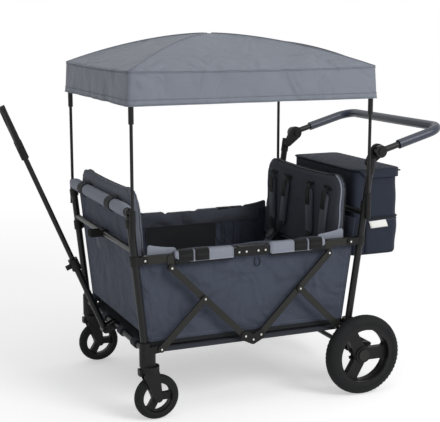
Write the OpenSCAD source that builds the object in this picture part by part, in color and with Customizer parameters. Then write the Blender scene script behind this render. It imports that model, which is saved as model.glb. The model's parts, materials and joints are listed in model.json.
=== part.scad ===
// Folding stroller wagon: two end frames joined by folding side rails and braces,
// a padded fabric tub, a roof on four poles, a push bar, a pull handle and a storage bag.
// Millimetres. +X is the rear (push bar), -X the front (pull handle), +Z is up, ground at zero.

/* [End frames] */
// Half the distance between the rail pivots of the two end frames
rail_pivot_x = 345; // [335:1:355]
// Height of the rail pivots above the ground
rail_z = 493; // [480:1:510]
// Half the distance between the left and right posts
post_y = 302; // [280:1:325]
// Outer diameter of the post and top bar tubes
post_d = 22; // [19:0.5:24]
// Wall of the steel tubes
tube_wall = 1.6; // [1:0.1:2.5]
// Half the distance between the post feet, where the floor boards hinge
foot_x = 345; // [338:1:352]
// Height of the post feet
foot_z = 218; // [212:1:224]
// Outward lean of the front posts in degrees
front_lean = 6; // [5:0.5:7]
// Outward lean of the rear posts in degrees
rear_lean = 8; // [7:0.5:9]
// Height of the front top bar
front_top_z = 640; // [625:1:655]
// Height at which the rear posts end in the push bar knuckles
rear_top_z = 752; // [745:1:758]
// Height of the front cross bar that parks the pull handle
front_cross_z = 523; // [510:1:535]
// Height of the rear cross bar that carries the bag and the backrest
rear_cross_z = 580; // [565:1:595]
// Diameter of the cross bars
cross_d = 18; // [14:0.5:20]

/* [Side linkage] */
// Height of the rail section
rail_h = 25; // [20:1:26]
// Thickness of the rail section
rail_t = 12; // [9:0.5:14]
// Half the distance between the two hinge pins of a rail bracket
bracket_pin_x = 44; // [38:1:50]
// Distance of the long brace's top pin inboard of the rail pivot
brace_pin_in = 81; // [76:1:86]
// Drop of the long brace's top pin below the rail
brace_pin_drop = 28; // [26:1:31]
// Half the distance between the hub pins
hub_pin_x = 26; // [24:1:30]
// Height of the hub pins
hub_pin_z = 229; // [224:1:236]
// Width of the brace bars
brace_w = 20; // [16:1:22]
// Thickness of the long braces
long_brace_t = 8; // [6:0.5:9]
// Thickness of the short braces
short_brace_t = 6; // [4:0.5:7]
// Half the distance between the short braces' lower pins
short_pin_x = 301; // [294:1:308]
// Diameter of the pivot pins
pin_d = 8; // [6:0.5:9]

/* [Tub] */
// Thickness of the fabric walls
wall_t = 4; // [3:0.5:5]
// Height of the side walls' top edge
wall_top_z = 500; // [490:1:510]
// Thickness of the floor boards
floor_t = 8; // [6:0.5:10]
// Height of the seat cushions' top
seat_top_z = 400; // [392:1:408]
// Thickness of the seat cushions
seat_t = 44; // [36:1:50]
// Depth of the seat cushions from front to back
seat_depth = 185; // [165:1:200]
// Half the width of the seat cushions
seat_half_w = 262; // [240:1:270]
// Half the width of the backrests
back_half_w = 278; // [268:1:280]
// Height of the backrests' top edge
back_top_z = 700; // [685:1:715]
// Depth of a backrest's crown towards the seat
back_crown = 28; // [22:1:34]
// Radius of a backrest's top corners
back_corner = 62; // [45:1:75]

/* [Roof] */
// Distance of the front poles ahead of the tub centre
front_pole_x = 385; // [381:1:389]
// Distance of the rear poles behind the tub centre
rear_pole_x = 398; // [394:1:402]
// Height of the roof cloth's lower hem
hem_z = 948; // [935:1:960]
// Height of the roof cloth's eave
eave_z = 1046; // [1035:1:1058]
// Height of the roof's crown
crown_z = 1143; // [1130:1:1156]
// Thickness of the roof cloth
cloth_t = 3; // [2:0.5:4]
// Diameter of the pole rods
rod_d = 10; // [8:0.5:11]
// Diameter of the sliding pole tubes
pole_tube_d = 16; // [14.5:0.5:17]

/* [Push bar and bag] */
// Distance of the push bar's pivot behind the tub centre
knuckle_x = 450; // [447:1:455]
// Height of the push bar's pivot
knuckle_z = 775; // [772:1:780]
// Length of the push bar's arms
arm_len = 243; // [230:1:258]
// Rise of the push bar's arms in degrees
arm_rise = 16; // [10:1:22]
// Diameter of the push bar's tube
bar_d = 20; // [18:0.5:22]
// Diameter of the push bar's grip sleeve
grip_d = 30; // [26:1:34]
// Depth of the bag from front to back
bag_depth = 170; // [150:1:190]
// Half the width of the bag
bag_half_w = 212; // [190:1:230]
// Height of the bag's bottom
bag_bottom_z = 416; // [405:1:430]
// Height of the bag's top
bag_top_z = 699; // [685:1:712]

/* [Wheels] */
// Diameter of the rear wheels
rear_wheel_d = 260; // [250:1:270]
// Width of the rear tyres
rear_tyre_w = 44; // [38:1:48]
// Distance of the rear axle behind the tub centre
axle_x = 371; // [365:1:378]
// Diameter of the rear axle
axle_d = 16; // [14:0.5:18]
// Diameter of the castor wheels
castor_d = 140; // [130:1:146]
// Width of the castor tyres
castor_tyre_w = 34; // [28:1:38]
// Trail of the castor wheels behind their swivel axis
castor_trail = 20; // [16:1:26]

/* [Pull handle] */
// Distance of the pull handle's pivot ahead of the tub centre
pull_pivot_x = 377; // [374:1:381]
// Height of the pull handle's pivot
pull_pivot_z = 205; // [202:1:208]
// Forward lean of the pull handle in degrees
pull_lean = 23; // [21:0.5:27]
// Length of the pull handle from its pivot to its tip
pull_len = 790; // [750:1:820]
// Length of the pull handle's lower tube
pull_lower_len = 255; // [240:1:270]
// Diameter of the pull handle's lower tube
pull_lower_d = 20; // [19:0.5:20.5]
// Diameter of the pull handle's upper tube
pull_upper_d = 16; // [14:0.5:16.5]

/* [Hidden] */
$fn = 48;

// Overrun of cuts, running gap of pins, gap of seated pieces and of faces that pass each other
over = 1;
pin_gap = 0.05;
seat_gap = 0.3;
side_gap = 0.5;

// Colours
frame_col = "#3a3b3b";
navy_col = "#454d60";
grey_col = "#838897";
roof_col = "#5f6670";
dark_col = "#262a34";
black_col = "#222526";

// Radii
post_r = post_d / 2;
cross_r = cross_d / 2;
pin_r = pin_d / 2;
brace_r = brace_w / 2;
rail_r = rail_h / 2;
rod_r = rod_d / 2;
pole_tube_r = pole_tube_d / 2;
axle_r = axle_d / 2;
bar_r = bar_d / 2;
grip_r = grip_d / 2;
rear_r = rear_wheel_d / 2;
castor_r = castor_d / 2;
pull_lower_r = pull_lower_d / 2;
pull_upper_r = pull_upper_d / 2;

// Layers across the width, from the inside out
pad_half_t = 14;
lug_t = 4;
tab_t = 3;
rail_y = post_y - rail_t / 2;
rail_out_y = post_y + rail_t / 2;
wall_y = post_y - pad_half_t - side_gap - wall_t;
long_y = rail_out_y + tab_t + side_gap;
short_y = long_y + long_brace_t + side_gap;

// Linkage pins of the rear half as x and z
short_pin_rise = 4;
cross_share = 0.437;
rail_pin = [rail_pivot_x, rail_z];
bracket_pin = [bracket_pin_x, rail_z];
brace_pin = [rail_pivot_x - brace_pin_in, rail_z - brace_pin_drop];
hub_pin = [hub_pin_x, hub_pin_z];
short_pin = [short_pin_x, foot_z + short_pin_rise];
cross_pin = brace_pin + cross_share * (hub_pin - brace_pin);

// A solid of the right side and its mirror image on the left side
module both_sides() {
    children();
    mirror([0, 1, 0]) children();
}

// A solid of the rear half turned into its twin on the front half
module to_front() {
    mirror([1, 0, 0]) children();
}

// A flat shape drawn in x and z, thickened along y from y0 by t
module plate(y0, t) {
    translate([0, y0 + t, 0]) rotate([90, 0, 0]) linear_extrude(t) children();
}

// A round bar along y through x and z, reaching half_len to each side
module y_bar(x, z, r, half_len) {
    translate([x, half_len, z]) rotate([90, 0, 0]) cylinder(r = r, h = 2 * half_len);
}

// A round bar along y from y0 to y1 at the place at, given as x and z
module y_pin(at, r, y0, y1) {
    translate([at[0], y0, at[1]]) rotate([-90, 0, 0]) cylinder(r = r, h = y1 - y0);
}

// A hollow bar along y with closed ends
module y_tube(x, z, r, half_len) {
    difference() {
        y_bar(x, z, r, half_len);
        y_bar(x, z, r - tube_wall, half_len - tube_wall);
    }
}

// A hollow tube that stands on the origin
module tube(r, h, bore_r) {
    difference() {
        cylinder(r = r, h = h);
        translate([0, 0, -over]) cylinder(r = bore_r, h = h + 2 * over);
    }
}

// The outline round two circles and their common tangents
module link(a, ra, b, rb) {
    dir = atan2(b[1] - a[1], b[0] - a[0]);
    turn = acos((ra - rb) / norm(b - a));
    up = [cos(dir + turn), sin(dir + turn)];
    down = [cos(dir - turn), sin(dir - turn)];
    translate(a) circle(ra);
    translate(b) circle(rb);
    polygon([a + ra * up, a + ra * down, b + rb * down, b + rb * up]);
}

// A rectangle about the origin with round corners
module round_rect(l, w, r) {
    square([l - 2 * r, w], center = true);
    square([l, w - 2 * r], center = true);
    for (sx = [-1, 1], sy = [-1, 1]) translate([sx * (l / 2 - r), sy * (w / 2 - r)]) circle(r);
}

// A pivot pin along y from y0 to y1 with a rivet head on its outer end
rivet_r = 6.8;
rivet_h = 2.4;
rivet_top_share = 0.6;

module rivet_pin(at, y0, y1) {
    y_pin(at, pin_r, y0, y1);
    translate([at[0], y1, at[1]]) rotate([-90, 0, 0])
        cylinder(r1 = rivet_r, r2 = rivet_r * rivet_top_share, h = rivet_h);
}

// Posts: leaning tubes whose axes start at the feet
foot_drop = 12;

function post_x(z, lean) = foot_x + (z - foot_z) * tan(lean);
function post_s(z, lean) = (z - foot_z) / cos(lean);

module on_post(lean, z) {
    translate([foot_x, post_y, foot_z]) rotate([0, lean, 0]) translate([0, 0, post_s(z, lean)]) children();
}

module post(lean, top_z) {
    on_post(lean, foot_z - foot_drop)
        tube(post_r, post_s(top_z + foot_drop, lean), post_r - tube_wall);
}

module post_space(lean, top_z) {
    on_post(lean, foot_z - foot_drop - seat_gap)
        cylinder(r = post_r + seat_gap, h = post_s(top_z + foot_drop + 2 * seat_gap, lean));
}

module rear_posts() {
    color(frame_col) both_sides() post(rear_lean, rear_top_z);
}

front_top_x = post_x(front_top_z, front_lean);

module front_posts() {
    color(frame_col) both_sides() to_front() difference() {
        post(front_lean, front_top_z);
        y_bar(front_top_x, front_top_z, post_r + seat_gap, post_y + post_d);
    }
}

// Bars between the posts
module front_top_bar() {
    color(frame_col) {
        y_tube(-front_top_x, front_top_z, post_r, post_y);
        both_sides() translate([-front_top_x, post_y, front_top_z]) sphere(post_r);
    }
}

module front_cross_bar() {
    color(frame_col) y_tube(-post_x(front_cross_z, front_lean), front_cross_z, cross_r,
        post_y - post_r - seat_gap);
}

rear_bar_x = post_x(rear_cross_z, rear_lean);
foot_r = 18;
low_bar_half = post_y - foot_r - seat_gap;

module rear_cross_bars() {
    color(frame_col) {
        y_tube(rear_bar_x, rear_cross_z, cross_r, post_y - post_r - seat_gap);
        y_tube(foot_x, foot_z, cross_r, low_bar_half);
    }
}

// The lower front bar carries two ears with the pull handle's pivot pin
ear_t = 5;
ear_r = 12;
ear_root_r = 14;
pull_pin_r = 5;
ear_y = pull_lower_r + side_gap;
pull_pin_head = 3;

module front_lower_bar() {
    color(frame_col) to_front() difference() {
        union() {
            y_bar(foot_x, foot_z, cross_r, low_bar_half);
            both_sides() plate(ear_y, ear_t)
                link([foot_x, foot_z], ear_root_r, [pull_pivot_x, pull_pivot_z], ear_r);
            y_bar(pull_pivot_x, pull_pivot_z, pull_pin_r, ear_y + ear_t + pull_pin_head);
        }
        y_bar(foot_x, foot_z, cross_r - tube_wall, low_bar_half - tube_wall);
    }
}

// The clip on the front cross bar takes the pull handle's tube between two prongs
clip_half_w = 20;
clip_wall = 4;
clip_reach = 46;
prong_t = 4;
clip_gap = 1;
prong_h = 22;
clip_x = post_x(front_cross_z, front_lean);

module handle_clip() {
    color(black_col) to_front() difference() {
        union() {
            y_bar(clip_x, front_cross_z, cross_r + seat_gap + clip_wall, clip_half_w);
            both_sides() translate([clip_x, pull_upper_r + clip_gap, front_cross_z - prong_h / 2])
                cube([clip_reach, prong_t, prong_h]);
        }
        y_bar(clip_x, front_cross_z, cross_r + seat_gap, clip_half_w + over);
    }
}

// Lugs and sockets clamped to the posts
collar_r = 14.5;
collar_h = 30;
lug_r = 11;
rail_lug_y = rail_y - side_gap - lug_t;
rail_lug_out = rail_out_y + side_gap;

module rail_lug(lean) {
    difference() {
        union() {
            on_post(lean, rail_z - collar_h / 2) cylinder(r = collar_r, h = collar_h);
            for (y0 = [rail_lug_y, rail_lug_out]) plate(y0, lug_t)
                link([post_x(rail_z, lean), rail_z], lug_r, rail_pin, lug_r);
            rivet_pin(rail_pin, rail_lug_y, rail_lug_out + lug_t);
        }
        post_space(lean, rear_top_z);
    }
}

short_lug_y = post_y + post_r;
short_lug_t = short_y - side_gap - short_lug_y;

module short_lug() {
    plate(short_lug_y, short_lug_t) link([foot_x, foot_z], lug_r, short_pin, lug_r);
    rivet_pin(short_pin, short_lug_y, short_y + short_brace_t + seat_gap);
}

foot_cap = 24;
axle_arm_t = 12;
axle_eye_r = 17;
rear_foot_drop = 22;

module rear_foot() {
    difference() {
        union() {
            translate([foot_x, post_y, foot_z - rear_foot_drop])
                cylinder(r = foot_r, h = rear_foot_drop + foot_cap);
            plate(post_y - axle_arm_t / 2, axle_arm_t)
                link([foot_x, foot_z], axle_eye_r, [axle_x, rear_r], axle_eye_r);
            short_lug();
        }
        post_space(rear_lean, rear_top_z);
        y_pin([axle_x, rear_r], axle_r + pin_gap, post_y - axle_arm_t, post_y + axle_arm_t);
    }
}

castor_offset = -14;
castor_x = foot_x + castor_offset;
socket_z = 170;
stem_r = 8;
stem_h = 28;

module castor_socket() {
    difference() {
        union() {
            translate([foot_x, post_y, socket_z]) cylinder(r = foot_r, h = foot_z + foot_cap - socket_z);
            translate([0, 0, socket_z]) linear_extrude(side_wall_z - side_gap - socket_z)
                link([foot_x, post_y], foot_r - side_gap, [castor_x, post_y], foot_r);
            short_lug();
        }
        post_space(front_lean, rear_top_z);
        translate([castor_x, post_y, socket_z - over])
            cylinder(r = stem_r + pin_gap, h = stem_h + 2 * over);
    }
}

pole_step = 4;
pole_y = post_y + post_r + rod_r + pole_step;
pole_socket_r = 9;
pole_socket_z = 566;
pole_socket_h = 80;
pole_floor = 4;
pole_collar_h = 22;

module pole_clamp(lean, x) {
    middle_z = pole_socket_z + pole_socket_h / 2;
    difference() {
        union() {
            on_post(lean, middle_z - pole_collar_h / 2) cylinder(r = collar_r, h = pole_collar_h);
            translate([x, pole_y, pole_socket_z]) cylinder(r = pole_socket_r, h = pole_socket_h);
        }
        post_space(lean, rear_top_z);
        translate([x, pole_y, pole_socket_z + pole_floor])
            cylinder(r = rod_r + pin_gap, h = pole_socket_h);
    }
}

module rear_brackets() {
    color(black_col) both_sides() {
        rail_lug(rear_lean);
        rear_foot();
        pole_clamp(rear_lean, rear_pole_x);
    }
}

module front_brackets() {
    color(black_col) both_sides() to_front() {
        rail_lug(front_lean);
        castor_socket();
        pole_clamp(front_lean, front_pole_x);
    }
}

// Poles: fixed rods below, sliding tubes above
pole_travel = 80;
tube_show = 52;
ball_r = 6;
tube_top_z = eave_z - 2 * cloth_t - 2 * ball_r - seat_gap;
rod_top_z = tube_top_z - pole_travel - pole_floor;
rod_bottom_z = pole_socket_z + pole_floor + seat_gap;

module pole_rod(x) {
    translate([x, pole_y, rod_bottom_z]) cylinder(r = rod_r, h = rod_top_z - rod_bottom_z);
}

module pole_tube(x) {
    translate([x, pole_y, hem_z - tube_show])
        tube(pole_tube_r, tube_top_z - hem_z + tube_show, rod_r + pin_gap);
}

module rear_pole_rods() {
    color(black_col) both_sides() pole_rod(rear_pole_x);
}

module front_pole_rods() {
    color(black_col) both_sides() pole_rod(-front_pole_x);
}

module rear_pole_tubes() {
    color(black_col) both_sides() pole_tube(rear_pole_x);
}

module front_pole_tubes() {
    color(black_col) both_sides() pole_tube(-front_pole_x);
}

// Side linkage: rails that fold upwards in the middle, and crossing braces
module rail() {
    plate(rail_y, rail_t) difference() {
        link(rail_pin, rail_r, bracket_pin, rail_r);
        translate(rail_pin) circle(pin_r + pin_gap);
        translate(bracket_pin) circle(pin_r + pin_gap);
    }
    plate(rail_out_y - over, tab_t + over) link([brace_pin[0], rail_z], lug_r, brace_pin, lug_r);
    rivet_pin(brace_pin, rail_out_y, long_y + long_brace_t + seat_gap);
}

module rear_rails() {
    color(frame_col) both_sides() rail();
}

module front_rails() {
    color(frame_col) both_sides() to_front() rail();
}

bracket_r = 14;
bracket_top_t = 3;
bracket_rivet_x = 20;

module rail_bracket() {
    for (y0 = [rail_lug_y, rail_lug_out]) plate(y0, lug_t)
        link([-bracket_pin_x, rail_z], bracket_r, bracket_pin, bracket_r);
    translate([-bracket_pin_x, rail_lug_y, rail_z + bracket_r - over])
        cube([2 * bracket_pin_x, rail_lug_out + lug_t - rail_lug_y, bracket_top_t]);
    for (sx = [-1, 1]) {
        rivet_pin([sx * bracket_pin_x, rail_z], rail_lug_y, rail_lug_out + lug_t);
        rivet_pin([sx * bracket_rivet_x, rail_z], rail_lug_out, rail_lug_out + lug_t);
    }
}

module rail_brackets() {
    color(black_col) both_sides() rail_bracket();
}

module long_brace() {
    plate(long_y, long_brace_t) difference() {
        link(brace_pin, brace_r, hub_pin, brace_r);
        translate(brace_pin) circle(pin_r + pin_gap);
        translate(hub_pin) circle(pin_r + pin_gap);
    }
}

module rear_long_braces() {
    color(frame_col) both_sides() long_brace();
}

module front_long_braces() {
    color(frame_col) both_sides() to_front() long_brace();
}

module short_brace() {
    plate(short_y, short_brace_t) difference() {
        link(short_pin, brace_r, cross_pin, brace_r);
        translate(short_pin) circle(pin_r + pin_gap);
    }
    rivet_pin(cross_pin, short_y, short_y + short_brace_t);
}

module rear_short_braces() {
    color(frame_col) both_sides() short_brace();
}

module front_short_braces() {
    color(frame_col) both_sides() to_front() short_brace();
}

hub_r = 15;
hub_drop = 13;
hub_t = 4;

module hub_plate() {
    low = [0, hub_pin_z - hub_drop];
    front_pin = [-hub_pin_x, hub_pin_z];
    plate(short_y, hub_t) {
        link(hub_pin, hub_r, low, hub_r);
        link(front_pin, hub_r, low, hub_r);
    }
    rivet_pin(hub_pin, long_y - seat_gap, short_y + hub_t);
    rivet_pin(low, short_y, short_y + hub_t);
    rivet_pin(front_pin, short_y, short_y + hub_t);
}

module hub_plates() {
    color(black_col) both_sides() hub_plate();
}

// Floor boards that hinge on the lower bars and rise in the middle
floor_drop = 2;
floor_top_z = foot_z - floor_drop;
floor_mid_gap = 3;
floor_clip_r = 14;
floor_clip_w = 34;
floor_clip_shares = [-0.78, -0.3, 0.3, 0.78];
floor_strut_shares = [0.08, 0.8];
floor_inset = 16;
edge_tube_r = 7;
edge_tube_in = 38;
floor_half_w = wall_y - seat_gap - floor_t / 2;

module floor_board() {
    difference() {
        union() {
            translate([floor_mid_gap, -floor_half_w, floor_top_z - floor_t])
                cube([foot_x - floor_inset - floor_mid_gap, 2 * floor_half_w, floor_t]);
            for (s = floor_clip_shares) translate([0, s * floor_half_w, 0]) {
                y_bar(foot_x, foot_z, floor_clip_r, floor_clip_w / 2);
                translate([foot_x - floor_inset - floor_clip_r, -floor_clip_w / 2, floor_top_z - floor_t])
                    cube([floor_inset + floor_clip_r, floor_clip_w, floor_t]);
            }
            both_sides() {
                translate([floor_mid_gap, post_y - edge_tube_r, floor_top_z - floor_t / 2])
                    rotate([0, 90, 0]) cylinder(r = edge_tube_r, h = foot_x - edge_tube_in - floor_mid_gap);
                for (s = floor_strut_shares)
                    translate([s * foot_x, floor_half_w - over, floor_top_z - floor_t])
                    cube([floor_clip_w, post_y - edge_tube_r - floor_half_w + over, floor_t]);
            }
        }
        y_bar(foot_x, foot_z, cross_r + pin_gap, post_y);
    }
}

module rear_floor() {
    color(dark_col) floor_board();
}

module front_floor() {
    color(dark_col) to_front() floor_board();
}

// Fabric walls of the tub
end_wall_in = 16;
end_wall_rise = 36;
side_wall_rise = 8;
front_wall_top = 26;
rear_wall_drop = 20;
side_wall_z = foot_z + side_wall_rise;

function end_wall_x(z, lean) = post_x(z, lean) - end_wall_in;

module end_wall(lean, top_z) {
    low_z = foot_z + end_wall_rise;
    plate(seat_gap - wall_y, 2 * (wall_y - seat_gap)) polygon([
        [end_wall_x(low_z, lean) - wall_t / 2, low_z], [end_wall_x(low_z, lean) + wall_t / 2, low_z],
        [end_wall_x(top_z, lean) + wall_t / 2, top_z], [end_wall_x(top_z, lean) - wall_t / 2, top_z]
    ]);
}

module rear_wall() {
    color(navy_col) end_wall(rear_lean, rear_cross_z - rear_wall_drop);
}

module front_wall() {
    color(navy_col) to_front() end_wall(front_lean, front_top_z - front_wall_top);
}

module side_wall() {
    plate(wall_y, wall_t) polygon([
        [-end_wall_x(side_wall_z, front_lean), side_wall_z], [end_wall_x(side_wall_z, rear_lean), side_wall_z],
        [end_wall_x(wall_top_z, rear_lean), wall_top_z], [-end_wall_x(wall_top_z, front_lean), wall_top_z]
    ]);
}

module side_wall_right() {
    color(navy_col) side_wall();
}

module side_wall_left() {
    color(navy_col) mirror([0, 1, 0]) side_wall();
}

// A cushion: crowned, drawn in between its corners, with sewn channels.
// It stands on y with its crown towards +x; half_w across, tall upwards.
swell_power = 0.17;
channel_width_share = 0.045;

function round_off(t, start_share) = t <= start_share ? 0
    : 1 - sqrt(1 - pow((t - start_share) / (1 - start_share), 2));
function row_half(v, half_w, tall, top_corner, low_corner, pull) = half_w - pull * (1 - v * v)
    - top_corner * round_off(v, 1 - 2 * top_corner / tall)
    - low_corner * round_off(-v, 1 - 2 * low_corner / tall);
function dip(u, channel_shares, width_share) = len(channel_shares) == 0 ? 0
    : max([for (c = channel_shares) exp(-pow((u - c) / width_share, 2))]);
function swell(u, v) = pow(max(0, (1 - u * u) * (1 - v * v)), swell_power);

module cushion(half_w, tall, front, back, top_corner, low_corner, pull, channel_shares, channel, nu, nv) {
    function at(k, n) = sin(180 * k / n - 90);
    function point(i, j, depth, cut) = let (u = at(i, nu), v = at(j, nv)) [
        (depth - sign(depth) * cut * dip(u, channel_shares, channel_width_share)) * swell(u, v),
        u * row_half(v, half_w, tall, top_corner, low_corner, pull),
        tall / 2 * (1 + v) - pull * v * (1 - u * u)
    ];
    row = nu + 1;
    inner = nu - 1;
    base = row * (nv + 1);
    points = concat(
        [for (j = [0 : nv], i = [0 : nu]) point(i, j, front, channel)],
        [for (j = [1 : nv - 1], i = [1 : nu - 1]) point(i, j, -back, 0)]
    );
    function fi(i, j) = j * row + i;
    function bi(i, j) = i == 0 || j == 0 || i == nu || j == nv ? fi(i, j) : base + (j - 1) * inner + i - 1;
    function quad(a, b, c, d, other) = other ? [[a, b, d], [b, c, d]] : [[a, b, c], [a, c, d]];
    function other(i, j) = (2 * i < nu) != (2 * j < nv);
    faces = [for (j = [0 : nv - 1], i = [0 : nu - 1]) each concat(
        quad(fi(i, j), fi(i, j + 1), fi(i + 1, j + 1), fi(i + 1, j), other(i, j)),
        quad(bi(i, j), bi(i + 1, j), bi(i + 1, j + 1), bi(i, j + 1), other(i, j))
    )];
    polyhedron(points, faces);
}

// Backrests lean against the end frames and hang on strap loops
back_rise = 16;
back_low_z = seat_top_z + back_rise;
back_tall = back_top_z - back_low_z;
back_flat = 8;
back_pull = 7;
back_channel = 7;
mid_channel_shares = [0];
back_cols = 16;
back_rows = 14;
rear_back_lean = 3;
rear_back_x = 336;
strap_t = 3;
strap_w = 30;
strap_y = 148;

module rear_cushion_place() {
    translate([rear_back_x, 0, back_low_z]) rotate([0, rear_back_lean, 0]) children();
}

// A strap: a loop round a bar along y, with a tongue that reaches to x
module strap(bar_x, bar_z, loop_r, reach_x) {
    plate(-strap_w / 2, strap_w) difference() {
        union() {
            translate([bar_x, bar_z]) circle(loop_r + strap_t);
            translate([min(bar_x, reach_x), bar_z - strap_t / 2]) square([abs(bar_x - reach_x), strap_t]);
        }
        translate([bar_x, bar_z]) circle(loop_r);
    }
}

rear_back_at_bar = rear_back_x + (rear_cross_z - back_low_z) * tan(rear_back_lean) + back_flat;

module rear_backrest() {
    color(dark_col) {
        rear_cushion_place() mirror([1, 0, 0])
            cushion(back_half_w, back_tall, back_crown, back_flat, back_corner, lug_r, back_pull,
                mid_channel_shares, back_channel, back_cols, back_rows);
        both_sides() translate([0, strap_y, 0])
            strap(rear_bar_x, rear_cross_z, cross_r + seat_gap, rear_back_at_bar + seat_gap);
    }
}

front_back_lean = 5;
top_pad_r = 20;
front_back_x = front_top_x - top_pad_r - side_gap - back_flat
    - (front_top_z - back_low_z) * tan(front_back_lean);
pad_tie_depth = 0.06;
front_loop_r = top_pad_r * (1 - pad_tie_depth) + 2 * seat_gap;
loop_t = 2;

module front_backrest() {
    color(dark_col) {
        to_front() translate([front_back_x, 0, back_low_z]) rotate([0, front_back_lean, 0]) mirror([1, 0, 0])
            cushion(back_half_w, back_tall, back_crown, back_flat, back_corner, lug_r, back_pull,
                mid_channel_shares, back_channel, back_cols, back_rows);
        both_sides() to_front() plate(strap_y - strap_w / 2, strap_w) translate([front_top_x, front_top_z])
            difference() {
                circle(front_loop_r + loop_t);
                circle(front_loop_r);
                translate([-2 * front_loop_r, -front_loop_r]) square([front_loop_r + loop_t, 2 * front_loop_r]);
            }
    }
}

// Shoulder pads of the two harness sets lie on the rear backrest
set_y = 140;
shoulder_y = 47;
shoulder_half_w = 21;
shoulder_tall = 155;
shoulder_low_z = 478;
shoulder_crown = 9;
shoulder_flat = 3;
shoulder_pull = 1;
shoulder_corner = 16;
shoulder_cols = 6;
shoulder_rows = 10;
shoulder_x = rear_back_x + (shoulder_low_z - back_low_z) * tan(rear_back_lean) - shoulder_flat - seat_gap;

module shoulder_pad(y) {
    face = back_crown * swell((y - shoulder_half_w / 2) / (back_half_w - back_pull), 0);
    translate([shoulder_x - face, y, shoulder_low_z]) rotate([0, rear_back_lean, 0]) mirror([1, 0, 0])
        cushion(shoulder_half_w, shoulder_tall, shoulder_crown, shoulder_flat, shoulder_corner,
            shoulder_corner, shoulder_pull, [], 0, shoulder_cols, shoulder_rows);
}

module harness() {
    color(black_col) both_sides() for (side = [-1, 1]) shoulder_pad(set_y + side * shoulder_y);
}

// Seats: a cushion on a riser board, with a crotch pad for each child at the rear
seat_rear_x = 334;
riser_t = 8;
riser_in = 24;
seat_low_z = seat_top_z - seat_t;
seat_crown_share = 0.7;
seat_corner = 26;
seat_pull = 5;
riser_half_w = seat_half_w - seat_corner;
crotch_r = 20;
crotch_h = 62;
crotch_t = 12;
crotch_in = 92;
seat_cols = 12;
seat_rows = 8;
seat_up = seat_t * seat_crown_share;
seat_down = seat_t * (1 - seat_crown_share);
riser_v = 1 - 2 * (riser_in + riser_t) / seat_depth;
riser_top_z = seat_low_z + seat_down * (1 - swell(0, riser_v)) - seat_gap;
crotch_z = seat_top_z - seat_up * (1 - swell((set_y - crotch_r) / seat_half_w, 0)) + seat_gap;

module seat() {
    translate([seat_rear_x, 0, seat_low_z + seat_down]) rotate([0, -90, 0])
        cushion(seat_half_w, seat_depth, seat_up, seat_down, seat_corner, seat_corner, seat_pull,
            mid_channel_shares, back_channel, seat_cols, seat_rows);
    translate([seat_rear_x - seat_depth + riser_in, -riser_half_w, floor_top_z + seat_gap])
        cube([riser_t, 2 * riser_half_w, riser_top_z - floor_top_z - seat_gap]);
}

module rear_seat() {
    color(dark_col) {
        seat();
        for (set = [-1, 1]) translate([seat_rear_x - crotch_in, set * set_y, crotch_z])
            rotate([90, 0, 90]) linear_extrude(crotch_t) {
                translate([0, crotch_h - crotch_r]) circle(crotch_r);
                translate([-crotch_r, 0]) square([2 * crotch_r, crotch_h - crotch_r]);
            }
    }
}

module front_seat() {
    color(dark_col) to_front() seat();
}

// A padded sleeve along x round a bar; it swells between the straps that tie it.
// The bar runs through its middle with the clear half sizes bore_y and bore_z.
// It is boxy round a flat bar and round about a tube.
sleeve_end_share = 0.74;
sleeve_edge_share = 0.06;
tie_width_share = 0.05;

module sleeve(len, half_y, half_z, bore_y, bore_z, boxy, tie_shares, tie_depth, rings, sides) {
    function taper(s) = sleeve_end_share
        + (1 - sleeve_end_share) * sqrt(min(1, s / sleeve_edge_share, (1 - s) / sleeve_edge_share));
    function girth(s) = taper(s) - tie_depth * dip(s, tie_shares, tie_width_share);
    function soft(c) = boxy ? sign(c) * sqrt(abs(c)) : c;
    function round_point(k, a, b) = let (t = 360 * k / sides) [a * soft(cos(t)), b * soft(sin(t))];
    function bore_point(k) = let (t = 360 * k / sides, m = boxy ? max(abs(cos(t)), abs(sin(t))) : 1)
        [bore_y * cos(t) / m, bore_z * sin(t) / m];
    function outer(i, k) = let (s = i / rings, p = round_point(k, half_y, half_z) * girth(s))
        [len * s, p[0], p[1]];
    function inner(i, k) = let (p = bore_point(k)) [len * i, p[0], p[1]];
    base = (rings + 1) * sides;
    points = concat(
        [for (i = [0 : rings], k = [0 : sides - 1]) outer(i, k)],
        [for (i = [0, 1], k = [0 : sides - 1]) inner(i, k)]
    );
    function o(i, k) = i * sides + k % sides;
    function n(i, k) = base + i * sides + k % sides;
    faces = concat(
        [for (i = [0 : rings - 1], k = [0 : sides - 1]) each [
            [o(i, k), o(i, k + 1), o(i + 1, k + 1)], [o(i, k), o(i + 1, k + 1), o(i + 1, k)]]],
        [for (k = [0 : sides - 1]) each [
            [n(0, k), n(1, k + 1), n(0, k + 1)], [n(0, k), n(1, k), n(1, k + 1)],
            [o(0, k), n(0, k + 1), o(0, k + 1)], [o(0, k), n(0, k), n(0, k + 1)],
            [o(rings, k), o(rings, k + 1), n(1, k + 1)], [o(rings, k), n(1, k + 1), n(1, k)]]]
    );
    polyhedron(points, faces);
}

pad_half_z = 21;
pad_mid_gap = 17;
pad_end_gap = 12;
pad_rings = 14;
pad_sides = 16;
pad_tie_shares = [0.62, 0.8];
pad_start = bracket_pin_x + pad_mid_gap;
pad_len = brace_pin[0] - pad_end_gap - pad_start;

module rail_pad() {
    translate([pad_start, post_y, rail_z]) sleeve(pad_len, pad_half_t, pad_half_z, rail_t / 2 + seat_gap,
        rail_r + seat_gap, true, pad_tie_shares, pad_tie_depth, pad_rings, pad_sides);
}

module rear_rail_pads() {
    color(grey_col) both_sides() rail_pad();
}

module front_rail_pads() {
    color(grey_col) both_sides() to_front() rail_pad();
}

top_pad_tie_shares = [0.24, 0.76];
top_pad_half = post_y - collar_r;
top_pad_rings = 20;

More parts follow.
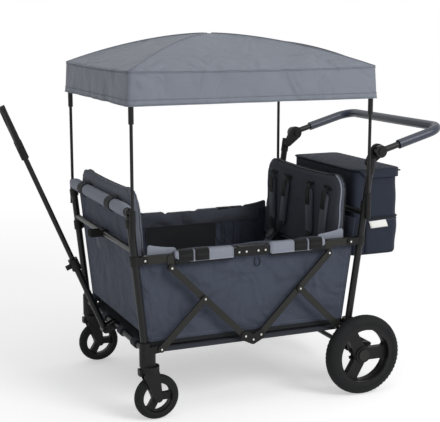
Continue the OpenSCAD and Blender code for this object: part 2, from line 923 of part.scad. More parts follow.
module front_top_pad() {
    color(grey_col) translate([-front_top_x, top_pad_half, front_top_z]) rotate([0, 0, -90])
        sleeve(2 * top_pad_half, top_pad_r, top_pad_r, post_r + seat_gap, post_r + seat_gap,
            false, top_pad_tie_shares, pad_tie_depth, top_pad_rings, pad_sides);
}

// Storage bag behind the rear cross bar, with a hinged lid
bag_t = 4;
bag_corner = 24;
bag_loop_y = 100;
bag_x = rear_bar_x + cross_r + seat_gap + strap_t;
bag_mid_x = bag_x + bag_depth / 2;
lid_t = 8;
lid_skirt = 24;
lid_over = 4;

module storage_bag() {
    color(dark_col) {
        difference() {
            translate([bag_mid_x, 0, bag_bottom_z]) linear_extrude(bag_top_z - bag_bottom_z)
                round_rect(bag_depth, 2 * bag_half_w, bag_corner);
            translate([bag_mid_x, 0, bag_bottom_z + bag_t]) linear_extrude(bag_top_z - bag_bottom_z)
                round_rect(bag_depth - 2 * bag_t, 2 * (bag_half_w - bag_t), bag_corner - bag_t);
        }
        both_sides() translate([0, bag_loop_y, 0])
            strap(rear_bar_x, rear_cross_z, cross_r + seat_gap, bag_x + bag_t / 2);
    }
}

module bag_lid() {
    lid_z = bag_top_z + seat_gap;
    lid_len = bag_depth + lid_over;
    color(dark_col) translate([bag_x, 0, lid_z]) {
        translate([lid_len / 2, 0, 0]) linear_extrude(lid_t)
            round_rect(lid_len, 2 * (bag_half_w + lid_over), bag_corner);
        difference() {
            translate([lid_len / 2, 0, -lid_skirt]) linear_extrude(lid_skirt + over)
                round_rect(lid_len, 2 * (bag_half_w + lid_over), bag_corner);
            translate([bag_depth / 2, 0, -lid_skirt - over]) linear_extrude(lid_skirt + over)
                round_rect(bag_depth + 2 * side_gap, 2 * (bag_half_w + side_gap), bag_corner);
            translate([-lid_skirt, -2 * bag_half_w, -2 * lid_skirt])
                cube([lid_skirt + bag_corner + lid_over, 4 * bag_half_w, 2 * lid_skirt]);
        }
    }
}

// Wheels turn about y. Each has a tyre and a spoked rim with a hub.
wheel_gap = 0.1;
hub_cap_t = 4;
hub_cap_share = 0.7;
wheel_side_gap = 4;
rear_wheel_y = short_y + short_brace_t + rivet_h + rear_tyre_w / 2 + wheel_side_gap;
tyre_wall_share = 0.24;
spoke_count = 3;
spoke_root_share = 0.75;
spoke_t_share = 0.5;
ring_share = 0.1;
window_edge = 2;
window_corner_share = 0.06;

module tyre(r, w) {
    wall = r * tyre_wall_share;
    crown_r = w / 2;
    rotate([90, 0, 0]) rotate_extrude($fn = 64) difference() {
        union() {
            translate([r - crown_r, 0]) circle(crown_r);
            translate([r - wall, -crown_r]) square([wall - crown_r, w]);
        }
        translate([0, -w]) square([r - wall, 2 * w]);
    }
}

// A disc with windows between its spokes, round at every corner
module spoke_plate(plate_r, window_r, hub_rad, spoke_w, corner) {
    difference() {
        circle(plate_r);
        offset(r = corner) offset(delta = -corner) difference() {
            circle(window_r);
            circle(hub_rad + window_edge);
            for (k = [0 : spoke_count - 1]) rotate(360 * k / spoke_count) polygon([
                [0, -hub_rad * spoke_root_share], [plate_r, -spoke_w / 2],
                [plate_r, spoke_w / 2], [0, hub_rad * spoke_root_share]
            ]);
        }
    }
}

// hub_span is where the hub starts and ends along the axle, inset moves the spokes along it
module rim(r, w, bore_r, hub_span, hub_rad, spoke_w, inset) {
    seat_r = r * (1 - tyre_wall_share) - wheel_gap;
    ring = r * ring_share;
    spoke_t = w * spoke_t_share;
    rotate([90, 0, 0]) difference() {
        union() {
            rotate_extrude($fn = 64) translate([seat_r - ring, -w / 2]) square([ring, w]);
            translate([0, 0, hub_span[0]]) cylinder(r = hub_rad, h = hub_span[1] - hub_span[0]);
            translate([0, 0, inset - spoke_t / 2]) linear_extrude(spoke_t)
                spoke_plate(seat_r - ring / 2, seat_r - ring - window_edge, hub_rad, spoke_w, r * window_corner_share);
            children();
        }
        translate([0, 0, hub_span[0] - over]) cylinder(r = bore_r, h = hub_span[1] - hub_span[0] + 2 * over);
    }
}

rear_hub_half = 24;
rear_hub_out = 10;
rear_spoke_inset = 6;
rear_hub_r = 26;
rear_spoke_w = 40;
ratchet_r = 30;
ratchet_t = 5;
ratchet_teeth = 9;
tooth = 9;

module rear_rim(y) {
    hub_span = y < 0 ? [-rear_hub_half, rear_hub_out] : [-rear_hub_out, rear_hub_half];
    color(black_col) translate([axle_x, y, rear_r])
        rim(rear_r, rear_tyre_w, axle_r + pin_gap, hub_span, rear_hub_r, rear_spoke_w, sign(y) * rear_spoke_inset)
            translate([0, 0, sign(y) * (rear_hub_half - ratchet_t)]) linear_extrude(ratchet_t, center = true) {
                circle(ratchet_r);
                for (k = [0 : ratchet_teeth - 1]) rotate(360 * k / ratchet_teeth)
                    translate([ratchet_r / 2, -tooth / 2]) square([ratchet_r / 2 + tooth, tooth]);
            }
}

module rear_rim_left() {
    rear_rim(-rear_wheel_y);
}

module rear_rim_right() {
    rear_rim(rear_wheel_y);
}

module rear_tyre_left() {
    color(black_col) translate([axle_x, -rear_wheel_y, rear_r]) tyre(rear_r, rear_tyre_w);
}

module rear_tyre_right() {
    color(black_col) translate([axle_x, rear_wheel_y, rear_r]) tyre(rear_r, rear_tyre_w);
}

module rear_axle() {
    axle_half = rear_wheel_y + rear_hub_out + side_gap;
    color(frame_col) {
        y_bar(axle_x, rear_r, axle_r, axle_half);
        both_sides() y_pin([axle_x, rear_r], rear_hub_r * hub_cap_share, axle_half, axle_half + hub_cap_t);
    }
}

// Foot brake: a pedal bar that hinges on the axle
brake_y = 262;
brake_collar_t = 14;
brake_collar_r = 14;
brake_reach = 78;
brake_bar_r = 7;
pedal_l = 46;
pedal_w = 130;
pedal_t = 7;
pedal_corner = 10;

module brake_pedal() {
    foot = [axle_x + brake_reach, rear_r];
    color(black_col) difference() {
        union() {
            both_sides() plate(brake_y - brake_collar_t / 2, brake_collar_t)
                link([axle_x, rear_r], brake_collar_r, foot, brake_bar_r);
            y_bar(foot[0], foot[1], brake_bar_r, brake_y);
            translate([foot[0], 0, foot[1]]) linear_extrude(brake_bar_r + pedal_t)
                round_rect(pedal_l, pedal_w, pedal_corner);
        }
        y_bar(axle_x, rear_r, axle_r + pin_gap, brake_y + brake_collar_t);
    }
}

// Castors: a fork with a stem in the socket, and a wheel on its axle
fork_top_z = socket_z - side_gap;
fork_disc_t = 18;
fork_disc_r = 29;
fork_leg_t = 6;
fork_leg_gap = 2.5;
fork_leg_top_r = 24;
fork_eye_r = 12;
castor_axle_r = 5;
castor_hub_r = 14;
castor_spoke_w = 22;
fork_leg_y = castor_tyre_w / 2 + fork_leg_gap;
castor_hub_half = fork_leg_y - side_gap;
lock_tab = [12, 22, 20];

module castor_fork(y) {
    color(black_col) translate([-castor_x, y, 0]) {
        translate([0, 0, fork_top_z - fork_disc_t]) {
            cylinder(r = fork_disc_r, h = fork_disc_t);
            cylinder(r = stem_r, h = fork_disc_t + side_gap + stem_h);
            translate([-fork_disc_r - lock_tab[0] / 2, -lock_tab[1] / 2, -lock_tab[2] / 2]) cube(lock_tab);
        }
        both_sides() plate(fork_leg_y, fork_leg_t)
            link([0, fork_top_z - fork_leg_top_r - side_gap], fork_leg_top_r,
                [castor_trail, castor_r], fork_eye_r);
        both_sides() translate([0, 0, fork_top_z - fork_disc_t]) linear_extrude(fork_disc_t)
            translate([0, fork_leg_y / 2 + fork_leg_t / 2])
                square([fork_leg_top_r, fork_leg_y + fork_leg_t], center = true);
        y_bar(castor_trail, castor_r, castor_axle_r, fork_leg_y + fork_leg_t);
    }
}

module castor_fork_left() {
    castor_fork(-post_y);
}

module castor_fork_right() {
    castor_fork(post_y);
}

module castor_place(y) {
    translate([castor_trail - castor_x, y, castor_r]) children();
}

module castor_tyre_left() {
    color(black_col) castor_place(-post_y) tyre(castor_r, castor_tyre_w);
}

module castor_tyre_right() {
    color(black_col) castor_place(post_y) tyre(castor_r, castor_tyre_w);
}

module castor_rim() {
    rim(castor_r, castor_tyre_w, castor_axle_r + pin_gap, [-castor_hub_half, castor_hub_half], castor_hub_r,
        castor_spoke_w, 0);
}

module castor_rim_left() {
    color(black_col) castor_place(-post_y) castor_rim();
}

module castor_rim_right() {
    color(black_col) castor_place(post_y) castor_rim();
}

// Push bar: a bent tube that tilts between two knuckles
knuckle_t = 12;
knuckle_r = 23;
knuckle_skirt = 45;
knuckle_cap = 3;
knuckle_pin_r = 7;
knuckle_head_r = 11;
eye_r = 20;
eye_in = 8;
bend_r = 55;
grip_start = 70;
button_r = 8;
button_show = 5;
button_seat = 4.5;
button_travel = 4;
arm_y = post_y;
knuckle_y = arm_y - bar_r - side_gap - knuckle_t;
eye_t = eye_in + bar_r;
knuckle_at = [knuckle_x, knuckle_z];
head_y = arm_y + bar_r + side_gap;

module handle_knuckles() {
    top_x = post_x(rear_top_z, rear_lean);
    socket_r = post_r + seat_gap + tube_wall;
    color(black_col) both_sides() difference() {
        union() {
            on_post(rear_lean, rear_top_z - knuckle_skirt)
                cylinder(r = socket_r, h = knuckle_skirt + knuckle_cap);
            plate(knuckle_y, knuckle_t) link([top_x, rear_top_z - socket_r], socket_r, knuckle_at, knuckle_r);
            y_pin(knuckle_at, knuckle_pin_r, knuckle_y + knuckle_t - over, head_y + knuckle_cap);
            y_pin(knuckle_at, knuckle_head_r, head_y, head_y + knuckle_cap);
        }
        post_space(rear_lean, rear_top_z);
        y_pin(knuckle_at, button_r + seat_gap, knuckle_y - over,
            knuckle_y + button_seat + button_travel + side_gap);
    }
}

module knuckle_button() {
    y_pin(knuckle_at, button_r, knuckle_y - button_show, knuckle_y + button_seat);
}

module knuckle_button_left() {
    color(black_col) mirror([0, 1, 0]) knuckle_button();
}

module knuckle_button_right() {
    color(black_col) knuckle_button();
}

module bar_place() {
    translate([knuckle_x, 0, knuckle_z]) rotate([0, -arm_rise, 0]) children();
}

module bar_run(r, start) {
    both_sides() {
        translate([start, arm_y, 0]) rotate([0, 90, 0]) cylinder(r = r, h = arm_len - bend_r - start);
        translate([arm_len - bend_r, arm_y - bend_r, 0]) rotate_extrude(angle = 90)
            translate([bend_r, 0]) circle(r);
    }
    translate([arm_len, 0, 0]) rotate([90, 0, 0]) cylinder(r = r, h = 2 * (arm_y - bend_r), center = true);
}

module push_bar() {
    color(frame_col) bar_place() difference() {
        union() {
            bar_run(bar_r, eye_r - over);
            both_sides() translate([0, arm_y - eye_in, 0]) rotate([-90, 0, 0]) cylinder(r = eye_r, h = eye_t);
        }
        y_bar(0, 0, knuckle_pin_r + pin_gap, arm_y + bar_r + over);
        bar_run(bar_r - tube_wall, eye_r + over);
    }
}

module push_bar_grip() {
    color(navy_col) bar_place() difference() {
        bar_run(grip_r, grip_start);
        bar_run(bar_r + seat_gap, grip_start - over);
    }
}

// Pull handle: an upper tube that telescopes in a lower tube, a clamp and a paddle grip
pull_eye_r = 12;
pull_wall = 1.4;
pull_slide_gap = 0.3;
pull_overlap = 65;
clamp_h = 38;
clamp_t = 5;
clamp_above = 6;
knob_r = 8;
knob_len = 20;
grip_len = 146;
grip_tip_r = 27;
grip_neck_r = 13;
grip_t = 20;
grip_round_r = 60;
grip_hole_r = 15;
grip_hole_low_r = 10.5;
grip_hole_len = 26;
grip_socket_r = 12;
grip_socket_h = 30;
grip_low = pull_len - grip_len;
grip_tip_z = pull_len - grip_tip_r;

module pull_place() {
    translate([-pull_pivot_x, 0, pull_pivot_z]) rotate([0, -pull_lean, 0]) children();
}

module pull_lower_tube() {
    color(frame_col) pull_place() difference() {
        union() {
            y_bar(0, 0, pull_eye_r, pull_lower_r);
            cylinder(r = pull_lower_r, h = pull_lower_len);
        }
        y_bar(0, 0, pull_pin_r + pin_gap, 2 * pull_lower_r);
        translate([0, 0, 2 * pull_eye_r]) cylinder(r = pull_upper_r + pull_slide_gap, h = pull_lower_len);
    }
}

module pull_upper_tube() {
    color(frame_col) pull_place() translate([0, 0, pull_lower_len - pull_overlap])
        tube(pull_upper_r, grip_low - pull_lower_len + pull_overlap, pull_upper_r - pull_wall);
}

module pull_clamp() {
    color(black_col) pull_place() translate([0, 0, pull_lower_len + clamp_above - clamp_h]) difference() {
        union() {
            cylinder(r = pull_lower_r + seat_gap + clamp_t, h = clamp_h);
            translate([-pull_lower_r - knob_len, 0, clamp_h / 2]) rotate([0, 90, 0])
                cylinder(r = knob_r, h = knob_len);
        }
        translate([0, 0, -over])
            cylinder(r = pull_lower_r + seat_gap, h = clamp_h - clamp_above + over + seat_gap);
        cylinder(r = pull_upper_r + pull_slide_gap, h = clamp_h + over);
    }
}

// A tapered paddle with two bulging faces and a hole near its tip
module pull_grip() {
    color(black_col) pull_place() difference() {
        union() {
            translate([0, 0, grip_low - grip_socket_h]) cylinder(r = grip_socket_r, h = 2 * grip_socket_h);
            intersection() {
                rotate([90, 0, 90]) linear_extrude(2 * grip_t, center = true)
                    link([0, grip_low + grip_neck_r], grip_neck_r, [0, grip_tip_z], grip_tip_r);
                translate([grip_t / 2 - grip_round_r, 0, grip_low - over])
                    cylinder(r = grip_round_r, h = grip_len + 2 * over, $fn = 128);
                translate([grip_round_r - grip_t / 2, 0, grip_low - over])
                    cylinder(r = grip_round_r, h = grip_len + 2 * over, $fn = 128);
            }
        }
        rotate([90, 0, 90]) linear_extrude(4 * grip_t, center = true)
            link([0, grip_tip_z - grip_hole_len], grip_hole_low_r, [0, grip_tip_z], grip_hole_r);
        cylinder(r = pull_upper_r + seat_gap, h = grip_low + seat_gap);
    }
}

// Roof cloth: a domed top with ridges to the corners and a hanging valance with folds
roof_clear = 0;
roof_mid_x = (rear_pole_x - front_pole_x) / 2;
roof_half_l = (rear_pole_x + front_pole_x) / 2 + pole_tube_r + roof_clear + cloth_t;
roof_half_w = pole_y + pole_tube_r + roof_clear + cloth_t;
crown_shift = -18;
dome_power = 1.65;
panel_sag = 8;
eave_sag = 4;
hem_flare = 5;
fold_depth = 4;
fold_count = 13;
roof_rings = 7;
hem_rings = 3;
ring_nudge = 0.001;
roof_sides = 48;

function ring_dir(k) = let (a = 360 * k / roof_sides + ring_nudge, m = max(abs(cos(a)), abs(sin(a))))
    [cos(a) / m, sin(a) / m];
function cornered(k) = let (d = ring_dir(k)) min(abs(d[0]), abs(d[1]));
function roof_point(s, k, inset) = let (d = ring_dir(k), c = cornered(k)) [
    roof_mid_x + crown_shift * (1 - s) + s * d[0] * (roof_half_l - inset),
    s * d[1] * (roof_half_w - inset),
    eave_z + (crown_z - eave_z) * (1 - pow(s, dome_power)) - panel_sag * (1 - c) * sin(180 * s) * s
        - eave_sag * (1 - c * c) * s - inset
];
function hem_point(t, k, inset) = let (d = ring_dir(k), c = cornered(k),
    out = hem_flare * t * c + fold_depth * t * (1 - c) * sin(360 * fold_count * k / roof_sides) - inset) [
    roof_mid_x + d[0] * (roof_half_l + out),
    d[1] * (roof_half_w + out),
    (eave_z - eave_sag * (1 - c * c) - inset) * (1 - t) + hem_z * t
];

module canopy_roof() {
    rings = roof_rings + hem_rings;
    function layer(inset) = concat(
        [[roof_mid_x + crown_shift, 0, crown_z - inset]],
        [for (i = [1 : rings], k = [0 : roof_sides - 1])
            i <= roof_rings ? roof_point(i / roof_rings, k, inset)
                : hem_point((i - roof_rings) / hem_rings, k, inset)]
    );
    count = 1 + rings * roof_sides;
    function at(i, k) = 1 + (i - 1) * roof_sides + k % roof_sides;
    top = concat(
        [for (k = [0 : roof_sides - 1]) [0, at(1, k + 1), at(1, k)]],
        [for (i = [1 : rings - 1], k = [0 : roof_sides - 1]) each [
            [at(i, k), at(i, k + 1), at(i + 1, k + 1)], [at(i, k), at(i + 1, k + 1), at(i + 1, k)]]]
    );
    below = [for (f = top) [f[0] + count, f[2] + count, f[1] + count]];
    hem = [for (k = [0 : roof_sides - 1]) each [
        [at(rings, k), at(rings, k + 1), at(rings, k + 1) + count],
        [at(rings, k), at(rings, k + 1) + count, at(rings, k) + count]]];
    color(roof_col) polyhedron(concat(layer(0), layer(cloth_t)), concat(top, below, hem));
}

// Two bent rods cross under the roof, each from a rear pole to the opposite front pole
bow_r = 4;
bow_clear = 20;

module bow(rise, turn) {
    half = norm([(rear_pole_x + front_pole_x) / 2, pole_y]);
    bend = (half * half + rise * rise) / (2 * rise);
    sweep = asin(half / bend);
    ball_z = tube_top_z + seat_gap + sqrt(ball_r * ball_r - pow(rod_r + pin_gap, 2));
    translate([roof_mid_x, 0, ball_z]) rotate([0, 0, turn * atan2(pole_y, (rear_pole_x + front_pole_x) / 2)]) {
        translate([0, 0, rise - bend]) rotate([90, 0, 0]) rotate([0, 0, 90 - sweep])
            rotate_extrude(angle = 2 * sweep, $fn = 128) translate([bend, 0]) circle(bow_r, $fn = 24);
        for (sx = [-1, 1]) translate([sx * half, 0, 0]) sphere(ball_r);
    }
}

module roof_bows() {
    rise = crown_z - cloth_t - bow_clear - bow_r - tube_top_z - ball_r;
    color(black_col) {
        bow(rise, 1);
        bow(rise - 2 * bow_r - side_gap, -1);
    }
}

// Draw the chosen pieces
rear_posts();
rear_cross_bars();
handle_knuckles();
rear_axle();
rear_wall();
rear_backrest();
harness();
storage_bag();
rear_brackets();
rear_pole_rods();
side_wall_left();
side_wall_right();
rear_seat();
rear_tyre_left();
rear_tyre_right();
rear_rim_left();
rear_rim_right();
brake_pedal();
bag_lid();
rear_rails();
rear_rail_pads();
rail_brackets();
front_rails();
front_rail_pads();
front_posts();
front_top_bar();
front_top_pad();
front_cross_bar();
handle_clip();
front_lower_bar();
front_wall();
front_backrest();
front_seat();
front_brackets();
front_pole_rods();
rear_long_braces();
front_long_braces();
hub_plates();
rear_short_braces();
front_short_braces();
rear_floor();
front_floor();
rear_pole_tubes();
canopy_roof();
roof_bows();
front_pole_tubes();
push_bar();
push_bar_grip();
knuckle_button_left();
knuckle_button_right();
pull_lower_tube();
pull_upper_tube();
pull_grip();
pull_clamp();
castor_fork_left();
castor_fork_right();
castor_tyre_left();
castor_tyre_right();
castor_rim_left();
castor_rim_right();
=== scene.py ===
"""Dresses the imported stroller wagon: cloth, padding, trim, finishes and a studio."""

import json
import math

import bmesh
import bpy
import numpy as np
from bpy.props import FloatProperty, FloatVectorProperty, IntProperty, PointerProperty
from mathutils import Matrix, Vector
from mathutils.bvhtree import BVHTree


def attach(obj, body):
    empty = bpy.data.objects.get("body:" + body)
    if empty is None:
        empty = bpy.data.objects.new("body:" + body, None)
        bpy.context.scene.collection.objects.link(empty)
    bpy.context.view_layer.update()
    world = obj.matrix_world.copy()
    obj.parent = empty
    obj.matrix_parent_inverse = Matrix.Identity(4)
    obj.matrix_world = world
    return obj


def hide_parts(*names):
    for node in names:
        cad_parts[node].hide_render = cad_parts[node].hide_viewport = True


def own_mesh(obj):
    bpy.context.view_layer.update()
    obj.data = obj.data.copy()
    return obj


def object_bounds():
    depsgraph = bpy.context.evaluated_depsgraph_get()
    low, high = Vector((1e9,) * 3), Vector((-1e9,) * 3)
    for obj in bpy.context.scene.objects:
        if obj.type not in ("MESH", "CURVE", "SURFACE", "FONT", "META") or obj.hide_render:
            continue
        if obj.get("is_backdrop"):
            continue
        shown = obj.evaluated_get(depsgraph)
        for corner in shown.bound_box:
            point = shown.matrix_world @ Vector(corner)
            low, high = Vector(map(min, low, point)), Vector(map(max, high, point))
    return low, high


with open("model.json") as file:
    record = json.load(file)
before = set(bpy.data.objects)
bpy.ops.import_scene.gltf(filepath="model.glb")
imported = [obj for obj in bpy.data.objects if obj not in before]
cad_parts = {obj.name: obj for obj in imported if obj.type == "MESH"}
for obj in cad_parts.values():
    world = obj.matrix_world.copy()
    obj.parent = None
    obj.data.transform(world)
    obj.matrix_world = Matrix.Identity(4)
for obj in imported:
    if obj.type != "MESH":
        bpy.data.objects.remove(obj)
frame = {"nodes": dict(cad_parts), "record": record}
CAD_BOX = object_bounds()

bl_info = {
    "name": "Stroller wagon dressing",
    "version": (1, 0, 0),
    "blender": (4, 5, 0),
    "location": "3D View > Sidebar > Wagon",
    "description": "Builds the cloth, padding, trim and finishes of a folding stroller wagon",
    "category": "Object",
}

MM = 0.001
ROOT = "rear_frame"

# Places shared with the solids, in millimetres and degrees
POST_Y = 302.0
POST_GAP = 16.0
FOOT_X, FOOT_Z = 345.0, 218.0
FRONT_LEAN, REAR_LEAN = 6.0, 8.0
TOP_BAR_Z = 640.0
CROSS_Z = 580.0
RAIL_Z = 493.0
WALL_Y = 285.5
WALL_LOW, WALL_TOP = 226.0, 500.0
WALL_CLOTH = 2.6
END_LOW = 254.0
SEAT_LOW = 356.0
BACK_LOW, BACK_TALL, BACK_HALF = 416.0, 284.0, 278.0
REAR_BACK_X, FRONT_BACK_X = 336.0, 341.25
REAR_BACK_LEAN, FRONT_BACK_LEAN = 3.0, 5.0
CHILD_PLACES = (-140.0, 140.0)
ROOF_MID, ROOF_L, ROOF_W = 6.5, 402.5, 333.0
ROOF_ANCHOR = 398.0
EAVE, CROWN, HEM = 1046.0, 1143.0, 948.0
DOME = 1.65
BAG_X, BAG_DEPTH, BAG_HALF = 408.18, 170.0, 212.0
BAG_LOW, BAG_TOP = 416.0, 699.0
BAG_CORNER = 24.0
REAR_AXLE = (371.0, 354.4, 130.0)
CASTOR_AXLE = (-311.0, 302.0, 70.0)
KNUCKLE = (450.0, 775.0)
ARM_LEN, ARM_RISE = 243.0, 16.0

# What is left of a length when the frame is folded
FOLD_KEEP_WALL = 0.455
FOLD_KEEP_ROOF = 0.53
FOLD_KEEP_BOWS = 0.519
FOLD_KEEP_SEAT = 0.15
FOLD_TURN = math.radians(68.0)
SEAT_FLAT = 34.0

# Small sizes of the trim
STITCH_RADIUS = 0.0006
RIVET_FLATNESS = 0.42
AIR_FRAMES = 16


def srgb(r, g, b):
    """A colour given as it looks on screen, 0 to 255, as linear light."""
    return tuple((c / 255 / 12.92) if c <= 10 else ((c / 255 + 0.055) / 1.055) ** 2.4 for c in (r, g, b))


def length(name, text, value):
    return FloatProperty(name=name, description=text, default=value, min=0.0, max=1.0, unit="LENGTH")


def colour(name, text, *rgb):
    return FloatVectorProperty(
        name=name, description=text, default=srgb(*rgb), size=3, min=0, max=1, subtype="COLOR")


class WagonSizes(bpy.types.PropertyGroup):
    """Small sizes of the cloth work that a user may change."""

    weave_pitch: length("Weave pitch", "Distance between threads of the woven covers", 0.0016)
    stitch_pitch: length("Stitch pitch", "Distance from one stitch to the next", 0.0075)
    stitch_long: length("Stitch length", "Length of one stitch", 0.005)
    piping: length("Piping radius", "Radius of the sewn piping", 0.0022)
    rivet: length("Rivet radius", "Radius of the bright rivet heads", 0.0036)
    wall_fold: length("Wall folds", "Depth of the folds in the tub walls", 0.006)
    valance_fold: length("Valance folds", "Depth of the folds in the roof's valance", 0.0065)
    tread_blocks: IntProperty(
        name="Tread blocks", description="Blocks round a rear tyre", default=56, min=12, max=120)


class WagonColours(bpy.types.PropertyGroup):
    """Colours of the finishes."""

    roof: colour("Roof cloth", "Coated roof cloth", 123, 128, 138)
    tub: colour("Tub cloth", "Woven walls of the tub", 73, 79, 93)
    pad: colour("Rail pads", "Padded sleeves of the rails", 139, 144, 156)
    seat: colour("Seat cloth", "Seats and backrests", 78, 81, 90)
    shell: colour("Backrest shell", "Outer side of the front backrest", 96, 100, 110)
    lining: colour("Lining", "Dark lining of the tub", 86, 90, 100)
    bag: colour("Bag cloth", "Rear bag", 44, 49, 61)
    webbing: colour("Webbing", "Straps and harness", 38, 39, 41)
    frame: colour("Bar paint", "Powder coat of the flat bars", 31, 31, 29)
    tube: colour("Tube paint", "Powder coat of posts, poles and handles", 20, 20, 21)
    plastic: colour("Moulded plastic", "Brackets, forks and rims", 22, 22, 23)
    buckle: colour("Buckles", "Round harness buckles", 74, 74, 78)
    tyre: colour("Tyre rubber", "Tyres", 23, 24, 25)
    leather: colour("Grip leather", "Sleeve of the push bar", 27, 37, 55)
    piping: colour("Piping", "Pale piping of the backrests", 150, 155, 167)
    thread: colour("Thread", "Stitches", 110, 116, 128)
    steel: colour("Bright steel", "Rivets and axle", 190, 190, 186)
    label: colour("Blank label", "Blank sewn label", 236, 236, 232)
    floor: colour("Floor", "Studio floor", 250, 250, 250)


def sizes():
    return bpy.context.scene.wagon_sizes


def colours():
    return bpy.context.scene.wagon_colours


# Node helpers

def feed(tree, value, target):
    """Links an output to an input, or sets the input to a plain value."""
    if isinstance(value, bpy.types.NodeSocket):
        tree.links.new(value, target)
    else:
        target.default_value = value


def node(tree, kind, inputs=None, **settings):
    """A new node with its settings, and with its inputs fed by name or number."""
    n = tree.nodes.new(kind)
    for key, value in settings.items():
        setattr(n, key, value)
    for key, value in (inputs or {}).items():
        feed(tree, value, n.inputs[key])
    return n


def math_node(tree, operation, a, b):
    return node(tree, "ShaderNodeMath", {0: a, 1: b}, operation=operation).outputs[0]


def scaled(tree, vector, factor):
    """A vector or colour times a factor."""
    return node(tree, "ShaderNodeVectorMath", {0: vector, "Scale": factor}, operation="SCALE").outputs[0]


def mapped(tree, value, low, high, to_low, to_high, **settings):
    """A value spread from one range to another."""
    ends = {"Value": value, "From Min": low, "From Max": high, "To Min": to_low, "To Max": to_high}
    return node(tree, "ShaderNodeMapRange", ends, **settings).outputs["Result"]


def new_group(name, kind, inputs, outputs):
    """A node group with sockets given as name, kind and value; also what it is given and its result."""
    g = bpy.data.node_groups.new(name, kind)
    for way, sockets in (("INPUT", inputs), ("OUTPUT", outputs)):
        for label, sort, value in sockets:
            s = g.interface.new_socket(name=label, in_out=way, socket_type="NodeSocket" + sort)
            if value is not None:
                s.default_value = value
    return g, node(g, "NodeGroupInput").outputs, node(g, "NodeGroupOutput").inputs


def shared_group(name):
    """A node group by its name, made on first use."""
    return bpy.data.node_groups.get(name) or GROUPS[name](name)


# Shader groups

def shader_group(name, inputs, outputs):
    """A shader group that takes a place and some numbers, and gives numbers."""
    given = [("Vector", "Vector", None)] + [(key, "Float", value) for key, value in inputs.items()]
    return new_group(name, "ShaderNodeTree", given, [(key, "Float", None) for key in outputs])


def weave_group(name):
    """Two crossing thread directions as a height."""
    g, given, result = shader_group(name, {"Threads": 400.0}, ["Height"])
    flip = node(g, "ShaderNodeVectorMath", {0: given["Vector"], 1: (1, 1, -1)}, operation="MULTIPLY")
    waves = []
    for source in (given["Vector"], flip.outputs[0]):
        inputs = {"Vector": source, "Scale": given["Threads"], "Distortion": 0.35, "Detail": 1.0}
        wave = node(g, "ShaderNodeTexWave", inputs, wave_type="BANDS", bands_direction="DIAGONAL")
        waves.append(wave.outputs["Fac"])
    feed(g, math_node(g, "MAXIMUM", *waves), result["Height"])
    return g


def mottle_group(name):
    """A slow and a fast drift of shade, as a factor about one."""
    g, given, result = shader_group(name, {"Scale": 12.0, "Amount": 0.12}, ["Factor"])
    parts = []
    for times, share in ((1.0, 0.7), (9.0, 0.3)):
        scale = math_node(g, "MULTIPLY", given["Scale"], times)
        noise = node(g, "ShaderNodeTexNoise", {"Vector": given["Vector"], "Scale": scale, "Detail": 3.0})
        about = math_node(g, "SUBTRACT", noise.outputs["Fac"], 0.5)
        parts.append(math_node(g, "MULTIPLY", about, share * 2))
    drift = math_node(g, "MULTIPLY", math_node(g, "ADD", *parts), given["Amount"])
    feed(g, math_node(g, "ADD", drift, 1.0), result["Factor"])
    return g


def grain_group(name):
    """Pebbled grain as a height, with fine scuffs as a mask."""
    g, given, result = shader_group(name, {"Scale": 500.0}, ["Height", "Scuff"])
    place = {"Vector": given["Vector"], "Scale": given["Scale"]}
    feed(g, node(g, "ShaderNodeTexVoronoi", place, feature="SMOOTH_F1").outputs["Distance"], result["Height"])
    wide = {"Scale": math_node(g, "MULTIPLY", given["Scale"], 0.08), "Detail": 6.0, "Roughness": 0.7}
    noise = node(g, "ShaderNodeTexNoise", {**place, **wide})
    feed(g, mapped(g, noise.outputs["Fac"], 0.55, 0.78, 0.0, 1.0), result["Scuff"])
    return g


def place_group(tree, name, vector, **values):
    """Adds a shared group to a material and gives its outputs."""
    inputs = {"Vector": vector, **{key.capitalize(): value for key, value in values.items()}}
    return node(tree, "ShaderNodeGroup", inputs, node_tree=shared_group(name)).outputs


# Finishes

def base_material(name, rgb, rough, scale, amount, metal=0.0):
    """A new material, its nodes, its shader's inputs, its object coordinates and its drifting colour."""
    m = bpy.data.materials.new(name)
    m.use_nodes = True
    m.diffuse_color = (*rgb, 1)
    t = m.node_tree
    skin = t.nodes["Principled BSDF"].inputs
    where = node(t, "ShaderNodeTexCoord").outputs["Object"]
    drift = place_group(t, "shade drift", where, scale=scale, amount=amount)
    tone = scaled(t, rgb, drift["Factor"])
    for key, value in (("Roughness", rough), ("Metallic", metal), ("Base Color", tone)):
        feed(t, value, skin[key])
    return m, t, skin, where, tone


def bump(t, skin, height, distance):
    relief = node(t, "ShaderNodeBump", {"Height": height, "Distance": distance, "Strength": 1.0})
    feed(t, relief.outputs["Normal"], skin["Normal"])


